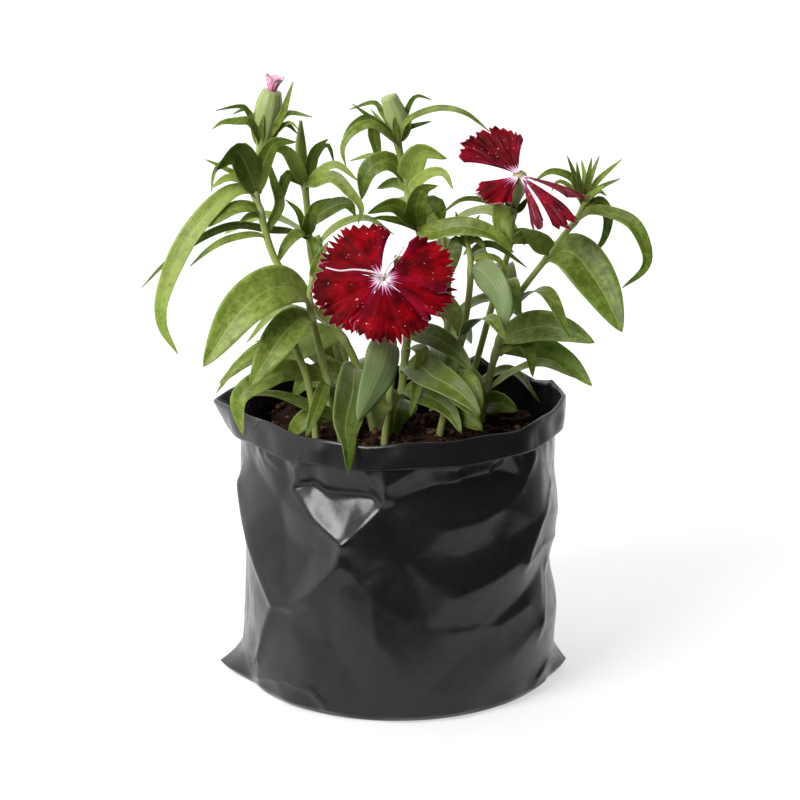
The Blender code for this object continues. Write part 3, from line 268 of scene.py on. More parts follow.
def fold_push(u, v, line, size, reach):
    """A sharp-crested fold along a line of (bearing, height) points."""
    nearest = np.full_like(u, 1e6)
    for (b1, h1), (b2, h2) in zip(line, line[1:]):
        start = np.array((b1 * DEGREE_WIDTH, h1))
        step = np.array((b2 * DEGREE_WIDTH, h2)) - start
        turn = 360 * DEGREE_WIDTH
        du = (u - start[0] + turn / 2) % turn - turn / 2
        dv = v - start[1]
        share = np.clip((du * step[0] + dv * step[1]) / (step @ step), 0, 1)
        nearest = np.minimum(nearest, np.hypot(du - share * step[0], dv - share * step[1]))
    return size * np.exp(-nearest / reach)


def film_push(bearings, heights):
    """Facets, folds and fine wrinkles of the film together."""
    facets = facet_push(bearings, heights)
    field = SHARP_SHARE * soften(facets, SHARP_ROUNDS) + (1 - SHARP_SHARE) * soften(facets, SOFT_ROUNDS)
    u, v = np.meshgrid(bearings * DEGREE_WIDTH, heights)
    for line, size, reach in FILM_FOLDS:
        field += fold_push(u, v, line, size, reach)
    draw = random.Random(LOOSE_FOLD_SEED)
    for _ in range(LOOSE_FOLDS):
        bearing, height = draw.uniform(-180, 180), draw.uniform(*LOOSE_FOLD_HEIGHTS)
        angle, length = draw.uniform(0, math.pi), draw.uniform(*LOOSE_FOLD_HALVES)
        reach = (length * math.cos(angle) / DEGREE_WIDTH, length * math.sin(angle))
        line = [(bearing - reach[0], height - reach[1]), (bearing + reach[0], height + reach[1])]
        field += fold_push(u, v, line, draw.uniform(*LOOSE_FOLD_SIZES), draw.uniform(*LOOSE_FOLD_REACHES))
    gather = np.clip((v - GATHER_FOOT) / GATHER_HEIGHT, 0, 1) ** 1.5
    field += gather * ripples(bearings, GATHER_WAVES)
    return soften(field, 1)


def linear(hex_colour):
    """Turn an sRGB hex colour into linear red, green, blue and alpha."""
    shares = [int(hex_colour[place:place + 2], 16) / 255 for place in (1, 3, 5)]
    return (*[s / 12.92 if s <= 0.04045 else ((s + 0.055) / 1.055) ** 2.4 for s in shares], 1.0)


def add_node(tree, kind, settings, links):
    """Add a shader node with its settings, where stops are a ramp's (place, hex colour), and its links."""
    node = tree.nodes.new("ShaderNode" + kind)
    for key, value in settings.items():
        if key == "stops":
            ramp = node.color_ramp.elements
            while len(ramp) < len(value):
                ramp.new(0.5)
            for element, (place, colour) in zip(ramp, value):
                element.position = place
                element.color = linear(colour)
        elif isinstance(key, int) or key in node.inputs:
            node.inputs[key].default_value = value
        else:
            setattr(node, key, value)
    for key, socket in links.items():
        tree.links.new(socket, node.inputs[key])
    return node


def start_finish(name, roughness, ior):
    """A new material, its node tree, its shader and the place in metres that its patterns are drawn by."""
    finish = bpy.data.materials.new(name)
    finish.use_nodes = True
    shader = finish.node_tree.nodes["Principled BSDF"]
    shader.inputs["Roughness"].default_value = roughness
    shader.inputs["IOR"].default_value = ior
    place = add_node(finish.node_tree, "TexCoord", {}, {}).outputs["Object"]
    return finish, finish.node_tree, shader, place


def piece_from(name, parts, finish, node_names):
    """One object of closed parts, each with its points in millimetres, its faces and its marks."""
    points = np.vstack([part["points"] for part in parts]) * MM
    faces = []
    start = 0
    for part in parts:
        faces += [[corner + start for corner in face] for face in part["faces"]]
        start += len(part["points"])
    mesh = bpy.data.meshes.new(name)
    mesh.from_pydata(points.tolist(), [], faces)
    for mark in parts[0].get("marks", {}):
        values = np.concatenate([part["marks"][mark] for part in parts]).astype(np.float32)
        mesh.attributes.new(mark, "FLOAT", "POINT").data.foreach_set("value", values)
    mesh.shade_smooth()
    mesh.materials.append(finish)
    piece = bpy.data.objects.new(name, mesh)
    bpy.context.scene.collection.objects.link(piece)
    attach(piece, "root")
    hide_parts(*node_names)
    return piece


def ring_faces(rings, count):
    """Quads between rings of equal count, numbered ring after ring, with both ends closed by fans."""
    faces = []
    for lower in range(rings - 1):
        for a in range(count):
            b = (a + 1) % count
            faces.append((lower * count + a, lower * count + b, (lower + 1) * count + b,
                          (lower + 1) * count + a))
    first, last = rings * count, rings * count + 1
    top = (rings - 1) * count
    for a in range(count):
        b = (a + 1) % count
        faces.append((b, a, first))
        faces.append((top + a, top + b, last))
    return faces


def around(bearings, radii, heights):
    """Points at the bearings, radii and heights, as rows of x, y and z."""
    angle = np.radians(bearings)
    return np.stack(np.broadcast_arrays(radii * np.sin(angle), -radii * np.cos(angle), heights), -1)


bag_bearings = np.arange(BAG_COLUMNS) * 360 / BAG_COLUMNS
wall_heights = np.linspace(WALL_FOOT, WALL_HIDDEN_TOP, WALL_ROWS)
outline = bag_outline(bag_bearings)
push = film_push(bag_bearings, np.minimum(wall_heights, WALL_TOP))
ears = bump_sum(bag_bearings, FOOT_EARS)
corners = bump_sum(bag_bearings, RIM_CORNERS)
foot_wave = ripples(bag_bearings, FOOT_WAVES)
cuff_wave = ripples(bag_bearings, CUFF_WAVES)
hem = CUFF_BOTTOM + ripples(bag_bearings, HEM_WAVES) - HEM_CORNER_DIP * corners
rim = outline + corners
top = rim_height(bag_bearings) + ripples(bag_bearings, LIP_WAVES)

# The film as rings of radius and height, from under the foot up the wall, behind the cuff and round its
# hem, up the cuff to the lip, and down the inside.
rings = []
for share in FOOT_SHARES:
    tuck = FOOT_TUCK * (1 - share ** 0.5)
    rings.append((outline - tuck + ears + foot_wave * share, WALL_FOOT * share))
for row, height in enumerate(wall_heights):
    ear_share = max(0.0, 1 - (height - WALL_FOOT) / (EAR_TOP - WALL_FOOT)) ** EAR_POINTED
    wave_share = max(0.0, 1 - (height - WALL_FOOT) / FOOT_WAVE_HEIGHT)
    rings.append((outline + push[row] + ears * ear_share + foot_wave * wave_share, height))
wall_outside = rings[-1][0]
cuff_foot = np.maximum(outline + CUFF_FOOT_CORNER * corners + CUFF_PROUD + 0.5 * cuff_wave,
                       wall_outside + CUFF_LEAST_PROUD)
for share in (0.0, 0.5, 1.0):
    height = WALL_HIDDEN_TOP * (1 - share) + (hem + HEM_BEHIND_LIFT) * share
    rings.append((wall_outside + CUFF_CLEAR, height))
for out, lift in HEM_EDGE:
    rings.append((cuff_foot + out, hem + lift))
for row in range(CUFF_ROWS + 1):
    share = row / CUFF_ROWS
    radius = (cuff_foot + CUFF_OUT) * (1 - share) + (rim + LIP_OUT) * share
    radius = radius + (CUFF_BULGE + cuff_wave) * math.sin(math.pi * share)
    rings.append((radius, (hem + HEM_LIFT) * (1 - share) + (top - LIP_DROP) * share))
for out, lift in LIP_EDGE:
    rings.append((rim + out, top + lift))
for share in np.linspace(1.0, 0.0, INSIDE_ROWS):
    height = INSIDE_BOTTOM + (top - INSIDE_TOP_DROP - INSIDE_BOTTOM) * share
    climb = (float(height.mean()) - WALL_FOOT) / (WALL_HIDDEN_TOP - WALL_FOOT)
    row = min(int(climb * WALL_ROWS), WALL_ROWS - 1)
    flare = corners * max(0.0, (share - INSIDE_FLARE_FROM) / (1 - INSIDE_FLARE_FROM)) ** EAR_POINTED
    rings.append((outline + push[row] * INSIDE_PUSH_SHARE - FILM_THICKNESS + flare, height))
rings += [(outline - within, height) for within, height in UNDER_COMPOST]
film_points = np.vstack([around(bag_bearings, radius, height) for radius, height in rings]
                        + [np.array([(0.0, 0.0, height) for height in FLOOR_HEIGHTS])])
bag_part = {"points": film_points, "faces": ring_faces(len(rings), BAG_COLUMNS)}

# Black polythene film, blown and then crumpled by hand: a smooth satin black that mirrors the room in
# soft patches, with scuffed, duller spots and a faint orange-peel ripple.
film, tree, shader, place = start_finish("blown_black_polythene", 0.25, 1.51)
shader.inputs["Specular IOR Level"].default_value = 0.4
cloud = add_node(tree, "TexNoise", {"Scale": 1 / (14 * MM), "Detail": 5.0, "Roughness": 0.6},
                 {"Vector": place})
tint = add_node(tree, "ValToRGB", {"stops": [(0.3, "#0e0e10"), (0.7, "#18181a")]},
                {"Fac": cloud.outputs["Fac"]})
tree.links.new(tint.outputs["Color"], shader.inputs["Base Color"])
scuff = add_node(tree, "TexNoise", {"Scale": 1 / (5 * MM), "Detail": 6.0, "Roughness": 0.65},
                 {"Vector": place})
dull = add_node(tree, "MapRange", {"From Min": 0.35, "From Max": 0.75, "To Min": 0.2, "To Max": 0.36},
                {"Value": scuff.outputs["Fac"]})
tree.links.new(dull.outputs["Result"], shader.inputs["Roughness"])
ripple = add_node(tree, "TexNoise", {"Scale": 1 / (2.5 * MM), "Detail": 3.0}, {"Vector": place})
peel = add_node(tree, "Bump", {"Strength": 0.1, "Distance": 0.4 * MM}, {"Height": ripple.outputs["Fac"]})
tree.links.new(peel.outputs["Normal"], shader.inputs["Normal"])
piece_from("film_bag", [bag_part], film, ["bag"])


# Compost
# Moist peat compost fills the bag to about 12 mm under its rim. Its surface is loose: lumps of peat,
# crumbs and short brown fibres, heaped a little where the stems come up.
SOIL_HEIGHT = 83.0
SOIL_RIPPLE = 1.1
SOIL_CROSS_RIPPLE = 0.8
SOIL_HEAP = 1.5
SOIL_HEAP_AREA = 900
SOIL_SEED = 31
SOIL_COLUMNS = 150
SOIL_RINGS = 46
SOIL_SIDE_HEIGHTS = (1.6, 20.0, 40.0, 60.0, 74.0, 80.0)
SOIL_FARTHEST = 80.0
SOIL_NO_EDGE = 40.0
SOIL_SINK = 0.6
SOIL_TONE = 0.3
PEAT_LUMPS = ((9.0, 9, 0.7), (3.5, 14, 0.45), (1.8, 16, 0.3))
PEAT_LUMP_LENGTHS = (0.6, 1.6)
CRUMBS = 1500
CRUMB_LEAST = 0.35
CRUMB_RANGE = 1.1
CRUMB_FEW_LARGE = 2.5
CRUMB_STRETCHES = (1.0, 1.5)
CRUMB_LAYERS = ((-0.7, 0.6), (0.0, 1.0), (0.6, 0.7))
CRUMB_SIDES = 6
CRUMB_TILT = 0.6
CRUMB_STRAY = 0.3
CRUMB_DENTS = (0.75, 1.15)
CRUMB_FLATTER = 0.8
CRUMB_ENDS = (-1.0, 0.9)
CRUMB_SINK = 0.2
CRUMB_LIFTS = (-0.3, 0.7)
CRUMB_EDGE_GAP = 1.0
CRUMB_SPREAD = 50.0
FIBRES = 260
FIBRE_SIZES = (0.16, 0.3)
FIBRE_STRETCHES = (6, 16)


def soil_top(x, y):
    """Height of the bumpy compost surface, a little higher round the stems."""
    ripple = SOIL_RIPPLE * np.sin(0.31 * x + 0.6) * np.cos(0.27 * y - 0.4)
    ripple += SOIL_CROSS_RIPPLE * np.sin(0.55 * y + 0.2 * x)
    return SOIL_HEIGHT + ripple + SOIL_HEAP * np.exp(-(x * x + y * y) / SOIL_HEAP_AREA)


def waves(x, y, seed, size, count):
    """A rough surface of seeded waves in all directions, about 1 high at its highest."""
    draw = random.Random(seed)
    total = np.zeros_like(x)
    for _ in range(count):
        angle = draw.uniform(0, math.tau)
        length = size * draw.uniform(*PEAT_LUMP_LENGTHS)
        total += np.sin((x * math.cos(angle) + y * math.sin(angle)) * math.tau / length
                        + draw.uniform(0, math.tau))
    return total / math.sqrt(count)


def node_surface(name):
    """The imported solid's surface in millimetres, to measure from."""
    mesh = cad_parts[name].data
    return BVHTree.FromPolygons([vertex.co / MM for vertex in mesh.vertices],
                                [list(face.vertices) for face in mesh.polygons])


soil_surface = node_surface("soil")
soil_bearings = np.arange(SOIL_COLUMNS) * 360 / SOIL_COLUMNS
soil_rings = []
for height in SOIL_SIDE_HEIGHTS:
    hits = [soil_surface.ray_cast(Vector((0, 0, height)), Vector(spot), SOIL_FARTHEST)[0]
            for spot in around(soil_bearings, 1.0, 0.0)]
    radii = np.array([math.hypot(hit.x, hit.y) if hit else SOIL_NO_EDGE for hit in hits])
    soil_rings.append(around(soil_bearings, radii, height))
soil_edge = np.hypot(soil_rings[-1][:, 0], soil_rings[-1][:, 1])
for ring in range(SOIL_RINGS):
    spots = around(soil_bearings, soil_edge * (1 - ring / SOIL_RINGS), 0.0)
    x, y = spots[:, 0], spots[:, 1]
    spots[:, 2] = soil_top(x, y) - SOIL_SINK
    for number, (size, count, lump_height) in enumerate(PEAT_LUMPS):
        spots[:, 2] += lump_height * waves(x, y, SOIL_SEED + number, size, count)
    soil_rings.append(spots)
soil_ends = np.array([(0, 0, SOIL_SIDE_HEIGHTS[0]), (0, 0, float(soil_top(0.0, 0.0)))])
soil_points = np.vstack(soil_rings + [soil_ends])
soil_part = {"points": soil_points, "faces": ring_faces(len(soil_rings), SOIL_COLUMNS),
             "marks": {"tone": np.full(len(soil_points), SOIL_TONE)}}


def crumb_part(draw, centre, size, stretch):
    """One crumb or fibre: a dented lump, stretched and turned at random."""
    turn = Matrix.Rotation(draw.uniform(0, math.tau), 3, "Z")
    turn = turn @ Matrix.Rotation(draw.uniform(-CRUMB_TILT, CRUMB_TILT), 3, "X")
    points = []
    for lift, wide in CRUMB_LAYERS:
        for step in range(CRUMB_SIDES):
            angle = math.tau * (step + draw.uniform(-CRUMB_STRAY, CRUMB_STRAY)) / CRUMB_SIDES
            reach = wide * draw.uniform(*CRUMB_DENTS)
            spot = (math.cos(angle) * reach * stretch, math.sin(angle) * reach, lift * CRUMB_FLATTER)
            points.append(centre + turn @ Vector(spot) * size)
    points += [centre + turn @ Vector((0, 0, size * end)) for end in CRUMB_ENDS]
    return {"points": np.array(points), "faces": ring_faces(len(CRUMB_LAYERS), CRUMB_SIDES),
            "marks": {"tone": np.full(len(points), draw.random())}}


crumb_draw = random.Random(SOIL_SEED)
crumbs = []
for number in range(CRUMBS + FIBRES):
    bearing = crumb_draw.uniform(0, 360)
    radius = CRUMB_SPREAD * math.sqrt(crumb_draw.random())
    edge = float(np.interp(bearing, soil_bearings, soil_edge)) - CRUMB_EDGE_GAP
    x, y, _ = around(np.array(bearing), min(radius, edge), 0.0)
    height = float(soil_top(x, y)) - CRUMB_SINK
    centre = Vector((x, y, height + crumb_draw.uniform(*CRUMB_LIFTS)))
    if number < CRUMBS:
        size = CRUMB_LEAST + CRUMB_RANGE * crumb_draw.random() ** CRUMB_FEW_LARGE
        stretch = crumb_draw.uniform(*CRUMB_STRETCHES)
    else:
        size = crumb_draw.uniform(*FIBRE_SIZES)
        stretch = crumb_draw.uniform(*FIBRE_STRETCHES)
    crumbs.append(crumb_part(crumb_draw, centre, size, stretch))

# Peat: rotted moss and bark, wet enough to be a very dark brown, with drier and lighter crumbs among it.
# It has no gloss, and its pores are about a millimetre and a half wide.
peat, tree, shader, place = start_finish("moist_peat", 0.93, 1.4)
shader.inputs["Specular IOR Level"].default_value = 0.25
tone = add_node(tree, "Attribute", {"attribute_name": "tone"}, {})
brown = add_node(tree, "ValToRGB",
                 {"stops": [(0.0, "#261a13"), (0.45, "#3c2719"), (0.8, "#5e3c28"), (1.0, "#866349")]},
                 {"Fac": tone.outputs["Fac"]})
grain = add_node(tree, "TexNoise", {"Scale": 1 / (1.6 * MM), "Detail": 6.0, "Roughness": 0.7},
                 {"Vector": place})
dark = add_node(tree, "Mix", {"data_type": "RGBA", "blend_type": "MULTIPLY", 0: 0.45},
                {6: brown.outputs["Color"], 7: grain.outputs["Color"]})
tree.links.new(dark.outputs[2], shader.inputs["Base Color"])
pores = add_node(tree, "Bump", {"Strength": 0.6, "Distance": 0.5 * MM}, {"Height": grain.outputs["Fac"]})
tree.links.new(pores.outputs["Normal"], shader.inputs["Normal"])
piece_from("peat_surface", [soil_part], peat, ["soil"])
piece_from("peat_crumbs", crumbs, peat, ["soil"])


# Stems
# Each stalk is round, smooth and pale green, with a swollen joint wherever a pair of leaves leaves it. A
# stalk that bears a bud or a bloom widens at its top into the ribbed calyx tube that holds the petals.
STEMS = {
    "left_bud_stem": [
        (-5, -3, 52, 1.3), (-5, -3, 77, 1.3), (-11, -6, 106, 1.3), (-18, -8, 121, 1.2), (-27, -8, 130, 1.2),
        (-38, -7, 144, 1.2), (-43, -6, 160, 1.2), (-45, -5, 169, 1.2), (-43, -5, 181, 1.4),
        (-42, -5, 185, 2.7), (-41, -5, 190, 3.7), (-40, -5, 196, 4.2), (-39, -5, 201, 3.0)],
    "spear_stem": [
        (-13, 5, 52, 1.2), (-13, 5, 77, 1.2), (-17, 7, 104, 1.2), (-24, 9, 128, 1.2), (-27, 9, 143, 1.1),
        (-28, 9, 157, 1.1), (-29, 9, 168, 1.3), (-30, 9, 178, 1.9), (-30, 8, 188, 0.5)],
    "middle_bud_stem": [
        (2, 6, 52, 1.3), (2, 6, 77, 1.3), (5, 8, 113, 1.3), (9, 9, 140, 1.2), (9, 8, 151, 1.1),
        (6, 6, 160, 1.1), (4, 5, 171, 1.1), (2, 5, 181, 1.4), (2, 5, 185, 2.6), (2, 5, 189, 3.6),
        (0, 5, 194, 3.1), (-1, 5, 197, 2.6)],
    "right_bud_stem": [
        (29, 8, 52, 1.3), (29, 8, 77, 1.3), (33, 10, 101, 1.2), (40, 13, 123, 1.1), (52, 15, 140, 1.0),
        (57, 15, 147, 1.0), (62, 14, 154, 1.0), (65, 14, 162, 1.2)],
    "side_bloom_stem": [
        (21, 14, 52, 1.2), (21, 14, 77, 1.2), (29, 17, 105, 1.1), (34, 18, 124, 1.1), (39, 16, 142, 1.0),
        (40, 13, 154, 1.2), (41, 9, 161, 1.6), (42, 5, 166, 2.3), (42, 0, 171, 2.5)],
    "front_bloom_stem": [
        (-4, -13, 52, 1.3), (-3, -13, 77, 1.3), (0, -10, 108, 1.2), (0, -5, 122, 1.1), (-2, -6, 129, 1.3),
        (-3, -11, 134, 2.3), (-3, -19, 141, 2.5)],
    "low_left_stem": [
        (-16, -14, 52, 1.4), (-16, -14, 80, 1.4), (-23, -15, 113, 1.3), (-27, -16, 132, 1.1),
        (-26, -15, 141, 0.8)],
    "low_right_stem": [
        (15, -5, 52, 1.3), (15, -5, 78, 1.3), (21, -6, 107, 1.2), (25, -4, 128, 1.1), (26, 0, 142, 1.0),
        (24, 2, 151, 0.8)],
    "back_left_stem": [
        (-14, 22, 52, 1.3), (-14, 23, 77, 1.3), (-20, 29, 114, 1.2), (-25, 32, 143, 0.8)],
    "back_right_stem": [
        (12, 25, 52, 1.3), (13, 25, 77, 1.3), (19, 31, 114, 1.2), (17, 34, 145, 0.8)],
    "cut_stem": [(-26, -19, 52, 1.2), (-25, -20, 83, 1.2), (-27, -22, 105, 1.2), (-32, -24, 121, 1.2)],
}
CALYX_FEET = {"left_bud_stem": 182, "middle_bud_stem": 182, "side_bloom_stem": 158, "front_bloom_stem": 129}
SOLID_STEM_SPAN = 10.0
FINE_STEM_SPAN = 1.2
STEM_SIDES = 14
CURVE_STEPS = 12
JOINT_SWELL = 0.28
JOINT_LEAF_WIDTH = 4.5
JOINT_LENGTH = 1.5
CALYX_SIDES = 30
CALYX_BLEND = 3.0
CALYX_RIBS = 10
CALYX_RIB_SIZE = 0.05
RISE_FROM = 77.0
RISE_OVER = 125.0


def smooth_route(points, spans, leave=None):
    """Points at even steps along a smooth curve through the given ones, which may set out along leave."""
    before = points[0] * 2 - points[1]
    if leave is not None:
        before = points[1] - leave * (points[1] - points[0]).length
    ends = [before, *points, points[-1] * 2 - points[-2]]
    fine = []
    for a, b, c, d in zip(ends, ends[1:], ends[2:], ends[3:]):
        for step in range(CURVE_STEPS):
            t = step / CURVE_STEPS
            fine.append(0.5 * ((b * 2) + (c - a) * t + (a * 2 - b * 5 + c * 4 - d) * t * t
                               + (b * 3 - a - c * 3 + d) * t * t * t))
    fine.append(points[-1].copy())
    walked = [0.0]
    for a, b in zip(fine, fine[1:]):
        walked.append(walked[-1] + (b - a).to_3d().length)
    route = []
    place = 0
    for step in range(spans + 1):
        target = walked[-1] * step / spans
        while place < len(fine) - 2 and walked[place + 1] < target:
            place += 1
        share = (target - walked[place]) / max(walked[place + 1] - walked[place], 1e-9)
        route.append(fine[place].lerp(fine[place + 1], min(max(share, 0.0), 1.0)))
    return route


def stem_route(name, span):
    """Evenly spaced points of a stem, each with its radius as the fourth number."""
    marks = [Vector(mark) for mark in STEMS[name]]
    length = sum((b.to_3d() - a.to_3d()).length for a, b in zip(marks, marks[1:]))
    return smooth_route(marks, round(length / span))


def spot_on_stem(name, height):
    """Mark of the stem at a height and the stem's direction there."""
    route = stem_route(name, SOLID_STEM_SPAN)
    for a, b in zip(route, route[1:]):
        if a.z <= height <= b.z:
            return a.lerp(b, (height - a.z) / max(b.z - a.z, 1e-9)), (b - a).to_3d().normalized()
    return route[-1], (route[-1] - route[-2]).to_3d().normalized()


def bar_part(marks, sides, marks_of=lambda number: {}, radius_of=None):
    """A round bar through the marks, whose fourth number is its radius. marks_of gives each ring's values
    for the material, and radius_of may change the radius by ring and by angle."""
    points = []
    values = []
    normal = (marks[1] - marks[0]).to_3d().orthogonal().normalized()
    for number, mark in enumerate(marks):
        before, after = marks[max(number - 1, 0)], marks[min(number + 1, len(marks) - 1)]
        along = (after - before).to_3d().normalized()
        normal = (normal - along * normal.dot(along)).normalized()
        side = along.cross(normal)
        for step in range(sides):
            angle = math.tau * step / sides
            reach = radius_of(number, angle) if radius_of else mark.w
            points.append(mark.to_3d() + (normal * math.cos(angle) + side * math.sin(angle)) * reach)
            values.append(marks_of(number))
    points += [marks[0].to_3d(), marks[-1].to_3d()]
    values += [marks_of(0), marks_of(len(marks) - 1)]
    names = values[0].keys()
    return {"points": np.array(points), "faces": ring_faces(len(marks), sides),
            "marks": {name: np.array([value[name] for value in values]) for name in names}}


def stalk_part(name, joint_heights):
    """The stalk of a stem, swollen at its joints and ribbed along its calyx."""
    marks = stem_route(name, FINE_STEM_SPAN)
    calyx_foot = CALYX_FEET.get(name, math.inf)
    joints = [height for height in joint_heights if height < calyx_foot]
    swells = [max([0.0, *(math.exp(-((mark.z - height) / JOINT_LENGTH) ** 2) for height in joints)])
              for mark in marks]

    def marks_of(number):
        height = marks[number].z
        in_calyx = min(max((height - calyx_foot) / CALYX_BLEND, 0.0), 1.0)
        return {"rise": (height - RISE_FROM) / RISE_OVER, "joint": swells[number], "calyx": in_calyx}

    def radius_of(number, angle):
        mark = marks[number]
        ribbed = mark.z > calyx_foot + CALYX_BLEND
        ribs = 1 + CALYX_RIB_SIZE * math.cos(CALYX_RIBS * angle) if ribbed else 1.0
        return mark.w * ribs * (1 + JOINT_SWELL * swells[number])

    return bar_part(marks, CALYX_SIDES if name in CALYX_FEET else STEM_SIDES, marks_of, radius_of)


# Stem skin: a smooth, waxy, living green that pales towards the swollen joints and is a little yellow
# low on the plant. The wax gives it a soft satin light.
stem_skin, tree, shader, place = start_finish("waxy_stem_skin", 0.42, 1.42)
shader.inputs["Subsurface Weight"].default_value = 0.12
shader.inputs["Subsurface Radius"].default_value = (0.6, 1.0, 0.3)
shader.inputs["Subsurface Scale"].default_value = 1.0 * MM
rise, joint, calyx = (add_node(tree, "Attribute", {"attribute_name": mark}, {}).outputs["Fac"]
                      for mark in ("rise", "joint", "calyx"))
fleck = add_node(tree, "TexNoise", {"Scale": 1 / (3 * MM), "Detail": 4.0}, {"Vector": place})
green = add_node(tree, "ValToRGB", {"stops": [(0.0, "#a2aa6a"), (0.35, "#98a654"), (1.0, "#8e9e4e")]},
                 {"Fac": rise})
pale = add_node(tree, "Mix", {"data_type": "RGBA", 7: linear("#a9b67c")},
                {0: joint, 6: green.outputs["Color"]})
deep = add_node(tree, "Mix", {"data_type": "RGBA", 7: linear("#98a667")},
                {0: calyx, 6: pale.outputs[2]})
mottle = add_node(tree, "MapRange", {"To Min": 0.82, "To Max": 1.12}, {"Value": fleck.outputs["Fac"]})
shade = add_node(tree, "Mix", {"data_type": "RGBA", "blend_type": "MULTIPLY", 0: 1.0},
                 {6: deep.outputs[2], 7: mottle.outputs["Result"]})
tree.links.new(shade.outputs[2], shader.inputs["Base Color"])
skin_bump = add_node(tree, "Bump", {"Strength": 0.15, "Distance": 0.2 * MM},
                     {"Height": fleck.outputs["Fac"]})
tree.links.new(skin_bump.outputs["Normal"], shader.inputs["Normal"])


# Leaves
# Dianthus leaves grow in opposite pairs, lance-shaped and thin, folded to a shallow V along a pale
# midrib. They are a waxy mid green above and a dull grey-green below.

